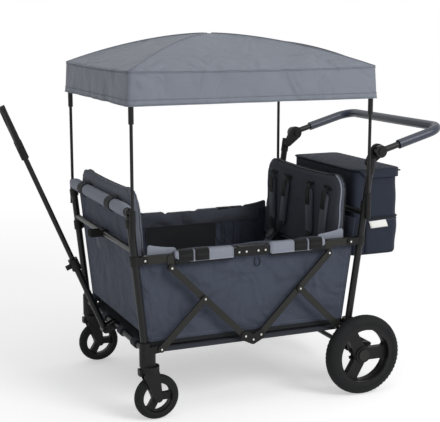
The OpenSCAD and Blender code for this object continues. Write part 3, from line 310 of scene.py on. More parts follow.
def cloth(name, rgb, rough=0.85, pitch=None, relief=0.00035, sheen=0.04, drift=0.10, crumple=0.0):
    """Woven cloth: threads in relief, with painted shade between them and a painted highlight on their tops;
    crumple is the height of wide creases.
    """
    m, t, skin, where, tone = base_material(name, rgb, rough, 9.0, drift)
    pitch = pitch or sizes().weave_pitch
    threads = place_group(t, "woven threads", where, threads=2 * math.pi / (10 * pitch))["Height"]
    soft = node(t, "ShaderNodeTexNoise", {"Vector": where, "Scale": 55.0, "Detail": 4.0})
    height = math_node(t, "ADD", threads, math_node(t, "MULTIPLY", soft.outputs["Fac"], 3.0))
    if crumple:
        inputs = {"Vector": where, "Scale": 8.0, "Detail": 2.5, "Distortion": 0.9}
        wide = node(t, "ShaderNodeTexNoise", inputs)
        high = math_node(t, "MULTIPLY", wide.outputs["Fac"], crumple / relief)
        height = math_node(t, "ADD", height, high)
    bump(t, skin, height, relief)
    # Painted shade in the gaps between threads and a painted highlight on their tops: the colour runs from
    # 0.9 to 1.06 with thread height
    woven = scaled(t, tone, mapped(t, threads, 0.0, 1.0, 0.9, 1.06))
    for key, value in (("Base Color", woven), ("Sheen Weight", sheen), ("Sheen Roughness", 0.5),
                       ("Specular IOR Level", 0.12)):
        feed(t, value, skin[key])
    return m


def grained(name, rgb, rough, drift, grain, relief, scuff=None, specular=0.5, coat=0.0, metal=0.0):
    """Paint, plastic, rubber, leather or steel with a pebbled skin; scuff is its range of roughness."""
    m, t, skin, where, _ = base_material(name, rgb, rough, *drift, metal)
    pebbles = place_group(t, "pebble grain", where, scale=grain)
    if scuff:
        feed(t, mapped(t, pebbles["Scuff"], 0.0, 1.0, *scuff), skin["Roughness"])
    bump(t, skin, pebbles["Height"], relief)
    for key, value in (("Specular IOR Level", specular), ("Coat Weight", coat), ("Coat Roughness", 0.35)):
        feed(t, value, skin[key])
    return m


def netting(name, rgb):
    """Open net: round holes in rows, painted dark as the shade seen through them, and matt."""
    m, t, skin, where, tone = base_material(name, rgb, 0.9, 15.0, 0.1)
    rows = {"Vector": where, "Scale": 330.0, "Randomness": 0.0}
    holes = node(t, "ShaderNodeTexVoronoi", rows, feature="F1").outputs["Distance"]
    # Painted shade: the holes are darkened to 0.35 of the net's colour for the shade seen through them
    feed(t, scaled(t, tone, mapped(t, holes, 0.3, 0.5, 0.35, 1.0)), skin["Base Color"])
    bump(t, skin, holes, 0.0008)
    return m


PAINT = dict(rough=0.34, drift=(14.0, 0.16), grain=900.0, relief=0.00012, scuff=(0.34, 0.52), specular=0.25)
MOULDING = dict(rough=0.55, drift=(18.0, 0.22), grain=420.0, relief=0.0003, scuff=(0.5, 0.75), specular=0.2)
RUBBER = dict(MOULDING, rough=0.78, grain=260.0, scuff=(0.73, 0.98))
LEATHER = dict(rough=0.38, drift=(25.0, 0.2), grain=330.0, relief=0.0005, coat=0.12)
STEEL = dict(rough=0.3, drift=(60.0, 0.1), grain=700.0, relief=0.0001, metal=1.0)

# Maker, name, colour and options of each finish
FINISHES = {
    "roof": (cloth, "coated roof cloth", "roof", dict(rough=0.55, relief=0.00022, drift=0.08, crumple=0.024)),
    "tub": (cloth, "woven tub cloth", "tub", dict(rough=0.7, relief=0.0004, drift=0.12, crumple=0.045)),
    "pad": (cloth, "rail pad cloth", "pad", dict(relief=0.0004)),
    "seat": (cloth, "seat cloth", "seat", dict(relief=0.0004, crumple=0.005)),
    "shell": (cloth, "backrest shell cloth", "shell", dict(rough=0.75, relief=0.0003, crumple=0.006)),
    # Shoulder pads: the seat colour, lightened in SHADES as a painted highlight
    "pads": (cloth, "shoulder pad cloth", "seat", dict(rough=0.6, relief=0.0003, sheen=0.15)),
    "lining": (cloth, "dark lining", "lining", dict(rough=0.9, crumple=0.035)),
    "bag": (cloth, "bag cloth", "bag", dict(rough=0.7, relief=0.0004, drift=0.14, crumple=0.006)),
    "webbing": (cloth, "strap webbing", "webbing", dict(rough=0.7, pitch=0.0024, relief=0.0006)),
    "piping": (cloth, "pale piping", "piping", dict(rough=0.7, pitch=0.0012, relief=0.0002)),
    "thread": (cloth, "sewing thread", "thread", dict(rough=0.7, pitch=0.0007, relief=0.0001)),
    "label": (cloth, "blank label", "label",
              dict(rough=0.6, pitch=0.0008, relief=0.0001, sheen=0.0, drift=0.03)),
    "board": (cloth, "floor board cover", "lining", dict(rough=0.9)),
    "frame": (grained, "frame powder coat", "frame", PAINT),
    "tube": (grained, "tube powder coat", "tube", PAINT),
    "buckle": (grained, "buckle moulding", "buckle", MOULDING),
    "plastic": (grained, "black moulding", "plastic", MOULDING),
    "tyre": (grained, "tyre rubber", "tyre", RUBBER),
    "leather": (grained, "grip leatherette", "leather", LEATHER),
    "steel": (grained, "bright rivet steel", "steel", STEEL),
    "net": (netting, "pocket net", "lining", {}),
}
# Finishes that are lighter or darker than their colour; the shoulder pads are the seat cloth made lighter as
# a painted highlight
SHADES = {"pads": 1.25, "net": 0.15, "board": 0.4}


def finish_of(key):
    """The finish for a kind of piece, made on first use."""
    maker, name, tone, options = FINISHES[key]
    made = bpy.data.materials.get(name)
    if made:
        return made
    return maker(name, tuple(SHADES.get(key, 1.0) * x for x in getattr(colours(), tone)), **options)


# Mesh helpers

def add_object(name, mesh):
    o = bpy.data.objects.new(name, mesh)
    bpy.context.scene.collection.objects.link(o)
    return o


def build(name, verts, faces, key, outward=False, smooth=True):
    """A mesh object from points in millimetres."""
    me = bpy.data.meshes.new(name)
    points = [tuple(v) for v in np.asarray(verts, float) * MM]
    me.from_pydata(points, [], [tuple(int(i) for i in f) for f in faces])
    me.validate()
    if outward:
        bm = bmesh.new()
        bm.from_mesh(me)
        bmesh.ops.remove_doubles(bm, verts=bm.verts, dist=1e-6)
        bmesh.ops.recalc_face_normals(bm, faces=bm.faces)
        bm.to_mesh(me)
        bm.free()
    if smooth:
        me.polygons.foreach_set("use_smooth", [True] * len(me.polygons))
    me.materials.append(finish_of(key))
    me.update()
    return add_object(name, me)


def grid_faces(nv, nu, close_u=False, base=0, flip=False):
    faces = []
    for j in range(nv - 1):
        for i in range(nu if close_u else nu - 1):
            k = (i + 1) % nu
            f = (base + j * nu + i, base + j * nu + k, base + (j + 1) * nu + k, base + (j + 1) * nu + i)
            faces.append(f[::-1] if flip else f)
    return faces


def thicken(o, millimetres, offset=-1.0):
    s = o.modifiers.new("Cloth thickness", "SOLIDIFY")
    s.thickness = millimetres * MM
    s.offset = offset
    s.use_even_offset = True
    return o


def seat_piece(o, body, replaces=(), fold=None):
    """Rides a piece on its body and hides the solids it replaces; where fold is given, the piece gets a mesh
    of its own. The fold's axis, anchor and keep are not used.
    """
    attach(o, body)
    if replaces:
        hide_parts(*replaces)
    if fold:
        axis, anchor, keep = fold
        tuple(a * MM for a in anchor)
        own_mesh(o)
        tuple(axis)
    return o


def inner_side(o):
    """Gives the faces of a piece that look into the tub the lining's cloth."""
    o.data.materials.append(finish_of("lining"))
    for f in o.data.polygons:
        if f.normal.y * f.center.y < -0.3 * abs(f.center.y):
            f.material_index = len(o.data.materials) - 1


WALL_FOLD = ((1, 0, 0), (FOOT_X, 0, 0), FOLD_KEEP_WALL)
ROOF_FOLD = ((1, 0, 0), (ROOF_ANCHOR, 0, 0), FOLD_KEEP_ROOF)
BOW_FOLD = ((1, 0, 0), (ROOF_ANCHOR, 0, 0), FOLD_KEEP_BOWS)


def seat_fold(sx):
    """Axis, anchor and share kept for a seat laid flat along the face of its floor board as the board stands
    when the frame is folded.
    """
    axis = (sx * math.sin(FOLD_TURN), 0, math.cos(FOLD_TURN))
    anchor = (sx * FOOT_X + SEAT_FLAT * axis[0], 0, FOOT_Z + SEAT_FLAT * axis[2])
    return axis, anchor, FOLD_KEEP_SEAT


def circle(count):
    """Angles of evenly spaced places round a full turn."""
    return [2 * math.pi * k / count for k in range(count)]


def tube_mesh(points, radius, sides=8, closed=False):
    """Points and faces of a round tube along a path."""
    p = np.asarray(points, float)
    n = len(p)
    if closed:
        tan = np.roll(p, -1, 0) - np.roll(p, 1, 0)
    else:
        tan = np.gradient(p, axis=0)
    tan /= np.linalg.norm(tan, axis=1)[:, None] + 1e-12
    side = np.array((0.13, 0.27, 1.0))
    verts = []
    for q, t in zip(p, tan):
        a = side - t * (side @ t)
        if np.linalg.norm(a) < 1e-6:
            a = np.array((1.0, 0.0, 0.0)) - t * t[0]
        a /= np.linalg.norm(a)
        b = np.cross(t, a)
        side = a
        for w in circle(sides):
            verts.append(q + radius * (a * math.cos(w) + b * math.sin(w)))
    faces = grid_faces(n + 1 if closed else n, sides, True)
    if closed:
        faces = [tuple(i % (n * sides) for i in f) for f in faces]
    else:
        faces += [tuple(range(sides))[::-1], tuple((n - 1) * sides + k for k in range(sides))]
    return np.array(verts), faces


def tube(name, points, radius, key, sides=8, closed=False):
    v, f = tube_mesh(points, radius, sides, closed)
    return build(name, v, f, key, outward=True)


def ribbon(name, points, width_dir, width, thickness):
    """Flat webbing along a path, its width along width_dir."""
    p = np.asarray(points, float)
    w = np.broadcast_to(np.asarray(width_dir, float), p.shape)
    rows = np.stack([p - w * width / 2, p - w * width * 0.46, p + w * width * 0.46, p + w * width / 2], 1)
    o = build(name, rows.reshape(-1, 3), grid_faces(len(p), 4), "webbing")
    return bake(thicken(o, thickness, 0.0))


def strap_loops(name, body, places, path, width, thickness):
    """Webbing along a path in x and z, once at each place across the wagon."""
    loops = [ribbon("loop", [(x, y, z) for x, z in path], (0, 1, 0), width, thickness) for y in places]
    seat_piece(join(name, loops), body)


def round_bar(x, z, radius, start, end, count):
    """Places in x and z round a bar from one angle to another."""
    return [(x + radius * math.cos(w), z + radius * math.sin(w)) for w in np.linspace(start, end, count)]


def join(name, objects):
    """Joins finished meshes into the first one, under a new name."""
    chosen = dict(active_object=objects[0], selected_editable_objects=objects, object=objects[0])
    with bpy.context.temp_override(**chosen):
        bpy.ops.object.join()
    objects[0].name = name
    return objects[0]


def merge(parts):
    """One list of points and faces from several."""
    verts, faces, base = [], [], 0
    for v, f in parts:
        verts.append(np.asarray(v, float))
        faces += [tuple(i + base for i in q) for q in f]
        base += len(v)
    return np.concatenate(verts), faces


def bake(o):
    """Applies the live modifiers by taking the evaluated mesh."""
    deps = bpy.context.evaluated_depsgraph_get()
    me = bpy.data.meshes.new_from_object(o.evaluated_get(deps))
    o.modifiers.clear()
    old = o.data
    o.data = me
    bpy.data.meshes.remove(old)
    return o


def hang(name, rows, key, flip, thickness, offset=-1.0):
    """A sheet of cloth from rows of points, with its thickness."""
    o = build(name, np.concatenate(rows), grid_faces(len(rows), len(rows[0]), flip=flip), key)
    return thicken(o, thickness, offset)


def raised(ring, z):
    """Points in a plane, lifted to a height or to a height each."""
    return np.concatenate([ring, np.broadcast_to(z, (len(ring),))[:, None]], 1)


def post_x(z, lean):
    return FOOT_X + (z - FOOT_Z) * math.tan(math.radians(lean))


# Geometry Nodes: rivets, stitches and tread

def geometry_tree(name, inputs):
    shape = ("Geometry", "Geometry", None)
    return new_group(name, "GeometryNodeTree", [shape, *inputs, ("Material", "Material", None)], [shape])


def finish_tree(g, given, result, inputs):
    """Puts instances on points and makes them real, smooth and coloured."""
    put = node(g, "GeometryNodeInstanceOnPoints", inputs)
    real = node(g, "GeometryNodeRealizeInstances", {0: put.outputs[0]})
    smooth = node(g, "GeometryNodeSetShadeSmooth", {0: real.outputs[0]})
    paint = node(g, "GeometryNodeSetMaterial", {"Geometry": smooth.outputs[0], "Material": given["Material"]})
    feed(g, paint.outputs[0], result[0])
    return g


def rivet_tree(name):
    """A flattened dome on every point."""
    g, given, result = geometry_tree(name, [("Radius", "Float", 0.0058), ("Height", "Float", 0.5)])
    ball = node(g, "GeometryNodeMeshUVSphere", {"Segments": 16, "Rings": 8, "Radius": given["Radius"]})
    flat = node(g, "ShaderNodeCombineXYZ", {0: 1.0, 1: given["Height"], 2: 1.0})
    inputs = {"Points": given["Geometry"], "Instance": ball.outputs["Mesh"], "Scale": flat.outputs[0]}
    return finish_tree(g, given, result, inputs)


def stitch_tree(name):
    """Short thread rods along every edge path."""
    g, given, result = geometry_tree(
        name, [("Pitch", "Float", 0.0075), ("Length", "Float", 0.005), ("Radius", "Float", 0.0007)])
    curve = node(g, "GeometryNodeMeshToCurve", {0: given["Geometry"]}).outputs[0]
    spread = node(g, "GeometryNodeResampleCurve", {"Curve": curve, "Length": given["Pitch"]}, mode="LENGTH")
    rod = node(g, "GeometryNodeMeshCylinder",
               {"Vertices": 6, "Radius": given["Radius"], "Depth": given["Length"]})
    along = node(g, "GeometryNodeInputTangent").outputs[0]
    turn = node(g, "FunctionNodeAlignRotationToVector", {"Vector": along}, axis="Z")
    inputs = {"Points": spread.outputs[0], "Instance": rod.outputs["Mesh"], "Rotation": turn.outputs[0]}
    return finish_tree(g, given, result, inputs)


def tread_tree(name):
    """Leaning blocks round a ring."""
    g, given, result = geometry_tree(
        name, [("Count", "Int", 56), ("Block", "Vector", (0.004, 0.012, 0.003)), ("Radius", "Float", 0.128),
               ("Lean", "Float", 0.5)])
    ring = node(g, "GeometryNodeCurvePrimitiveCircle",
                {"Resolution": given["Count"], "Radius": given["Radius"]})
    along = node(g, "GeometryNodeInputTangent").outputs[0]
    out = node(g, "GeometryNodeInputPosition").outputs[0]
    first = node(g, "FunctionNodeAlignRotationToVector", {"Vector": along}, axis="X").outputs[0]
    second = node(g, "FunctionNodeAlignRotationToVector", {"Rotation": first, "Vector": out},
                  axis="Z", pivot_axis="X")
    block = node(g, "GeometryNodeMeshCube", {"Size": given["Block"]}).outputs[0]
    spin = node(g, "ShaderNodeCombineXYZ", {2: given["Lean"]}).outputs[0]
    tilt = node(g, "GeometryNodeTransform", {"Geometry": block, "Rotation": spin})
    inputs = {"Points": ring.outputs[0], "Instance": tilt.outputs[0], "Rotation": second.outputs[0]}
    return finish_tree(g, given, result, inputs)


GROUPS = {
    "woven threads": weave_group,
    "shade drift": mottle_group,
    "pebble grain": grain_group,
    "rivet heads": rivet_tree,
    "stitch run": stitch_tree,
    "tyre tread": tread_tree,
}


def grow(name, group, carrier, **inputs):
    """Runs a shared tree on a carrier mesh and leaves a plain mesh object."""
    tree = shared_group(group)
    o = add_object(name, carrier)
    mod = o.modifiers.new("Grow", "NODES")
    mod.node_group = tree
    for item in tree.interface.items_tree:
        if item.item_type == "SOCKET" and item.in_out == "INPUT" and item.name in inputs:
            mod[item.identifier] = inputs[item.name]
    bpy.context.view_layer.update()
    return bake(o)


def paths_mesh(name, paths):
    """A mesh of points in millimetres, joined along each path."""
    verts, edges = [], []
    for p in paths:
        start = len(verts)
        verts += [tuple(np.array(q) * MM) for q in p]
        edges += [(start + i, start + i + 1) for i in range(len(p) - 1)]
    me = bpy.data.meshes.new(name)
    me.from_pydata(verts, edges, [])
    return me


def stitches(name, paths, body, key="thread", fold=None):
    s = sizes()
    o = grow(name, "stitch run", paths_mesh(name, paths), Pitch=s.stitch_pitch, Length=s.stitch_long,
             Radius=STITCH_RADIUS, Material=finish_of(key))
    return seat_piece(o, body, fold=fold)


def rivets(name, points, body):
    o = grow(name, "rivet heads", paths_mesh(name, [[p] for p in points]), Radius=sizes().rivet,
             Height=RIVET_FLATNESS, Material=finish_of("steel"))
    return seat_piece(o, body)


# Soft forms

def cushion_shape(half_w, tall, crown, corners, pull, grid, power=0.25, dips=()):
    """Points, faces and edge loop of a cushion across y, with its front crown towards +x.

    Crown is its height in front and behind, corners are the radii at the top and below, pull is how far
    the edges draw in, and grid counts the faces across and up.
    """
    nu, nv = grid

    def row_half(v):
        h = half_w - pull * (1 - v * v)
        for corner, w in zip(corners, (v, -v)):
            start = 1 - 2 * corner / tall
            if w > start:
                h -= corner * (1 - math.sqrt(max(0.0, 1 - ((w - start) / (1 - start)) ** 2)))
        return h

    us = np.sin(np.pi * np.arange(nu + 1) / nu - np.pi / 2)
    vs = np.sin(np.pi * np.arange(nv + 1) / nv - np.pi / 2)
    verts, index = [], {}
    for side, depth in ((0, crown[0]), (1, -crown[1])):
        for j, v in enumerate(vs):
            for i, u in enumerate(us):
                edge = i in (0, nu) or j in (0, nv)
                if side and edge:
                    index[side, i, j] = index[0, i, j]
                    continue
                d = depth * max(0.0, (1 - u * u) * (1 - v * v)) ** power
                if side == 0:
                    for at, wide, deep in dips:
                        d -= deep * math.exp(-((u - at) / wide) ** 2) * (1 - v * v) ** 0.5
                index[side, i, j] = len(verts)
                verts.append((d, u * row_half(v), tall / 2 * (1 + v) - pull * v * (1 - u * u)))
    faces = []
    for side in (0, 1):
        for j in range(nv):
            for i in range(nu):
                corners = ((i, j), (i + 1, j), (i + 1, j + 1), (i, j + 1))
                a, b, c, d = (index[(side, *at)] for at in corners)
                faces.append((a, b, c, d) if side == 0 else (a, d, c, b))
    rim = [index[0, i, 0] for i in range(nu)] + [index[0, nu, j] for j in range(nv)]
    rim += [index[0, i, nv] for i in range(nu, 0, -1)] + [index[0, 0, j] for j in range(nv, 0, -1)]
    verts = np.array(verts)
    return verts, faces, verts[rim]


def lean_place(p, x, z, lean, front):
    """Turns a cushion's own points into the wagon's: crown towards the middle, leaning outwards."""
    p = np.asarray(p, float)
    a = math.radians(lean)
    px, pz = -p[..., 0], p[..., 2]
    gx = x + px * math.cos(a) + pz * math.sin(a)
    gz = z - px * math.sin(a) + pz * math.cos(a)
    return np.stack([-gx if front else gx, p[..., 1], gz], -1)


def plump(o, key, pressure, voxel, cap):
    """Swells a closed pad as pressurised cloth, with no point moving further than cap."""
    scene = bpy.context.scene
    bpy.context.view_layer.objects.active = o
    r = o.modifiers.new("Even mesh", "REMESH")
    r.mode = "VOXEL"
    r.voxel_size = voxel
    bake(o)
    rest = np.array([v.co for v in o.data.vertices])
    c = o.modifiers.new("Air", "CLOTH")
    c.settings.use_pressure = True
    c.settings.uniform_pressure_force = pressure
    c.settings.effector_weights.gravity = 0
    c.settings.tension_stiffness = c.settings.compression_stiffness = 25
    c.settings.mass = 0.3
    c.settings.quality = 5
    c.point_cache.frame_start, c.point_cache.frame_end = 1, AIR_FRAMES
    for f in range(1, AIR_FRAMES + 1):
        scene.frame_set(f)
    deps = bpy.context.evaluated_depsgraph_get()
    me = o.evaluated_get(deps).to_mesh()
    now = np.array([v.co for v in me.vertices])
    o.evaluated_get(deps).to_mesh_clear()
    o.modifiers.remove(c)
    scene.frame_set(1)
    step = now - rest
    far = np.linalg.norm(step, axis=1)
    step *= np.minimum(1.0, cap / np.maximum(far, 1e-9))[:, None]
    o.data.vertices.foreach_set("co", (rest + step).astype(np.float32).ravel())
    o.data.polygons.foreach_set("use_smooth", [True] * len(o.data.polygons))
    o.data.materials.clear()
    o.data.materials.append(finish_of(key))
    o.data.update()


def onto(o, points, lift=0.4):
    """Points in millimetres moved to the nearest place on a piece, lifted a little off it."""
    me = o.data
    tree = BVHTree.FromPolygons([v.co for v in me.vertices], [f.vertices for f in me.polygons])
    out = []
    for p in points:
        place, normal = tree.find_nearest(Vector(p) * MM)[:2]
        out.append(np.array(place + normal * lift * MM) / MM)
    return np.array(out)


def creases(x, z, table):
    """Depth of soft folds: each has a middle, a direction, a half length, a half width and a height."""
    total = np.zeros_like(x)
    for cx, cz, angle, half, wide, high in table:
        a = math.radians(angle)
        along = (x - cx) * math.cos(a) + (z - cz) * math.sin(a)
        across = -(x - cx) * math.sin(a) + (z - cz) * math.cos(a)
        total += high * np.exp(-(along / half) ** 2 - (across / wide) ** 2)
    return total


# Operators

class WAGON_OT_stage(bpy.types.Operator):
    """Floor, backdrop light, lamps and the camera at the photograph's angle"""

    bl_idname = "wagon.stage"
    bl_label = "Studio"

    SENSOR, LENS, FAR_CLIP = 36.0, 86.388, 50.0
    AIM = Vector((0.0266, 0.0, 0.5619))
    AZIMUTH, ELEVATION, DISTANCE = -23.16, 10.489, 3.498
    FLOOR_HALF = 12.0
    LAMP_AIM = Vector((0, 0, 0.5))
    LAMPS = (("key_lamp", (1.5, -3.4, 2.7), 1.8, 85), ("top_lamp", (0.6, -0.2, 4.2), 3.0, 22))

    def seen(self, tree):
        """One for what the camera sees, straight or mirrored."""
        path = node(tree, "ShaderNodeLightPath").outputs
        first = math_node(tree, "MAXIMUM", path["Is Camera Ray"], path["Is Glossy Ray"])
        return math_node(tree, "MAXIMUM", first, path["Is Transmission Ray"])

    def camera(self):
        cam = bpy.data.cameras.new("photo camera")
        cam.sensor_width = self.SENSOR
        cam.lens = self.LENS
        cam.clip_end = self.FAR_CLIP
        az, el = math.radians(self.AZIMUTH), math.radians(self.ELEVATION)
        off = Vector((math.cos(el) * math.sin(az), -math.cos(el) * math.cos(az), math.sin(el)))
        o = add_object("photo_camera", cam)
        o.location = self.AIM + off * self.DISTANCE
        o.rotation_euler = (-off).to_track_quat("-Z", "Y").to_euler()
        return o

    def floor(self):
        """White ground that fades into the backdrop where the camera sees it."""
        white = bpy.data.materials.new("studio floor")
        white.use_nodes = True
        t = white.node_tree
        seen = self.seen(t)
        dimmed = math_node(t, "SUBTRACT", 1.0, math_node(t, "MULTIPLY", seen, 0.2))
        here = node(t, "ShaderNodeTexCoord").outputs["Object"]
        away = node(t, "ShaderNodeVectorMath", {0: here}, operation="LENGTH").outputs["Value"]
        fade = mapped(t, away, 1.5, 5.0, 0.45, 0.62, interpolation_type="SMOOTHSTEP")
        skin = t.nodes["Principled BSDF"].inputs
        for key, value in (("Roughness", 0.9), ("Specular IOR Level", 0.0), ("Emission Color", (1, 1, 1, 1)),
                           ("Base Color", scaled(t, colours().floor, dimmed)),
                           ("Emission Strength", math_node(t, "MULTIPLY", fade, seen))):
            feed(t, value, skin[key])
        me = bpy.data.meshes.new("studio_floor")
        h = self.FLOOR_HALF
        me.from_pydata([(-h, -h, 0), (h, -h, 0), (h, h, 0), (-h, h, 0)], [], [(0, 1, 2, 3)])
        me.materials.append(white)
        add_object("studio_floor", me)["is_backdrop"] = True

    def execute(self, context):
        scene = context.scene
        scene.view_settings.view_transform = "Standard"
        scene.camera = self.camera()
        self.floor()
        world = bpy.data.worlds.new("studio light")
        world.use_nodes = True
        scene.world = world
        w = world.node_tree
        back = w.nodes["Background"].inputs
        feed(w, mapped(w, self.seen(w), 0.0, 1.0, 0.5, 1.0), back["Strength"])
        feed(w, (1, 1, 1, 1), back["Color"])
        for name, place, size, power in self.LAMPS:
            lamp = bpy.data.lights.new(name, "AREA")
            lamp.size = size
            lamp.energy = power
            o = add_object(name, lamp)
            o.location = place
            o.rotation_euler = (self.LAMP_AIM - Vector(place)).to_track_quat("-Z", "Y").to_euler()
        return {"FINISHED"}


class WAGON_OT_rigid(bpy.types.Operator):
    """Finishes of the rigid pieces that keep their solid shape"""

    bl_idname = "wagon.rigid"
    bl_label = "Frame, plastic and rubber"

    KEYS = {
        "frame_tube": "tube", "frame_bar": "frame", "black_plastic": "plastic", "rim_plastic": "plastic",
        "tyre_rubber": "tyre", "axle_steel": "steel", "pole_metal": "tube", "floor_board": "board",
        "grip_leather": "leather",
    }
    PAINTED_AS_BARS = ("rear_axle", "front_cross_bar")

    def execute(self, context):
        for part in frame["record"]["subparts"]:
            painted = part["node"] in self.PAINTED_AS_BARS
            key = "frame" if painted else self.KEYS.get(part.get("material_slot"))
            if not key:
                continue
            o = frame["nodes"][part["node"]]
            for s in o.material_slots:
                s.link = "OBJECT"
                s.material = finish_of(key)
        return {"FINISHED"}


class WAGON_OT_roof(bpy.types.Operator):
    """Roof cloth as one curved sheet with a hanging valance, its seams and stitches"""

    bl_idname = "wagon.roof"
    bl_label = "Roof"

    SIDE, TOP_RINGS, HEM_RINGS = 56, 30, 18
    CROWN_SHIFT = -18.0
    EAVE_SAG, PANEL_SAG, HIP_RISE = 4.0, 8.0, 2.2
    HEM_BAND = 0.9
    NET_FIRST, NET_LAST, NET_SWELL = 13, 26, 14.0

    def edge(self):
        """Directions round the roof's rectangle, evenly along each side."""
        q = np.linspace(-1, 1, self.SIDE, endpoint=False)
        one = np.ones(self.SIDE)
        sides = ((one, q), (-q, one), (-one, -q), (q, -one))
        d = np.concatenate([np.stack(side, 1) for side in sides])
        return d / ((np.abs(d) ** 90).sum(1) ** (1 / 90))[:, None]

    def top(self, rim, run, c):
        """Rings of the roof's top from its crown to its eave; c is one at the hips."""
        crown = np.array([ROOF_MID + self.CROWN_SHIFT, 0.0])
        mid = 1 - c
        rows = []
        for i in range(self.TOP_RINGS + 1):
            s = max(i / self.TOP_RINGS, 0.004)
            z = EAVE + (CROWN - EAVE) * (1 - s ** DOME) - self.PANEL_SAG * mid * math.sin(math.pi * s) * s
            z = z - self.EAVE_SAG * (1 - c * c) * s
            z = z + self.HIP_RISE * np.exp(-(mid / 0.05) ** 2) * math.sin(math.pi * min(1, s * 1.05)) ** 0.6
            ripple = np.sin(2 * math.pi * run * 46 + 2 * np.sin(run * 40))
            pucker = 1.3 * ripple * math.exp(-((1 - s) / 0.035) ** 2) * mid
            rows.append(raised(crown + (rim - crown) * s, z + pucker))
        return rows

    def valance(self, rim, run, c, d):
        """Rings of the hanging valance from below its eave to its hem."""
        rng = np.random.default_rng(7)
        waves = [(k, rng.uniform(0, 6.28), rng.uniform(0.4, 1.0)) for k in (9, 13, 17, 23, 31)]
        fold = sum(a * np.sin(2 * math.pi * k * run + p) for k, p, a in waves) / 2.6
        pucker = sum(a * np.sin(2 * math.pi * (2 * k + 5) * run + p) for k, p, a in waves) / 2.6
        deep = sizes().valance_fold / MM
        eave = EAVE - self.EAVE_SAG * (1 - c * c)
        rows = []
        for i in range(1, self.HEM_RINGS + 1):
            t = i / self.HEM_RINGS
            sway = fold * t + 0.45 * pucker * math.exp(-((t - 0.2) / 0.22) ** 2)
            out = 5.0 * t * c + deep * (1 - c) * sway + (self.HEM_BAND if t > 0.87 else 0.0)
            rows.append(raised(rim + d * out[:, None], eave * (1 - t) + HEM * t))
        return rows

    def net(self, rows):
        """Dark net window that swells out of the rear panel from hip to hip."""
        n = self.SIDE
        window = []
        for i in range(self.NET_FIRST, self.NET_LAST + 1):
            s = (i - self.NET_FIRST) / (self.NET_LAST - self.NET_FIRST)
            swell = self.NET_SWELL * math.sin(math.pi * s) ** 0.6
            lifts = [swell * math.sin(math.pi * k / n) ** 0.3 for k in range(n + 1)]
            window.append(np.array([rows[i][k] + (0, 0, 1.2 + lift) for k, lift in enumerate(lifts)]))
        o = hang("roof_vent_net", window, "net", True, 1.0)
        seat_piece(o, "canopy_rear", fold=ROOF_FOLD)

    def bows(self):
        """The solid bows copied as rods in the tube finish, shown in place of the solids."""
        solid = frame["nodes"]["roof_bows"]
        springy = solid.data.copy()
        springy.transform(solid.matrix_world)
        springy.materials.clear()
        springy.materials.append(finish_of("tube"))
        o = add_object("roof_bow_rods", springy)
        seat_piece(o, "canopy_rear", ("roof_bows",), BOW_FOLD)

    def execute(self, context):
        n, top = self.SIDE, self.TOP_RINGS
        d = self.edge()
        m = len(d)
        run = np.arange(m) / m
        c = np.abs(d).min(1)
        rim = np.stack([ROOF_MID + d[:, 0] * ROOF_L, d[:, 1] * ROOF_W], 1)
        rows = self.top(rim, run, c) + self.valance(rim, run, c, d)
        verts = np.concatenate(rows)
        faces = grid_faces(len(rows), m, True, flip=True)
        o = build("roof_cloth", verts, faces + [tuple(range(m))], "roof")
        thicken(o, 2.0)
        seat_piece(o, "canopy_rear", ("canopy_roof",), ROOF_FOLD)
        beside = lambda row, out, up=0.0: rows[row] + raised(d * out, up)
        hips = [np.array([r[k] for r in rows[1:top + 1]]) + (0, 0, 0.8) for k in (0, n, 2 * n, 3 * n)]
        seams = [tube_mesh(h, 1.7, 6) for h in hips]
        seams.append(tube_mesh(beside(top, 0.6, -0.6), 1.5, 6, True))
        seams.append(tube_mesh(beside(-1, 0.2), 1.6, 6, True))
        seam = build("roof_seams", *merge(seams), "roof", outward=True)
        seat_piece(seam, "canopy_rear", fold=ROOF_FOLD)
        lines = [beside(top + int(self.HEM_RINGS * 0.86), 1.1), beside(top + 1, 0.5)]
        stitches("roof_stitches", [np.concatenate([line, line[:1]]) for line in lines], "canopy_rear",
                 fold=ROOF_FOLD)
        self.net(rows)
        self.bows()
        return {"FINISHED"}


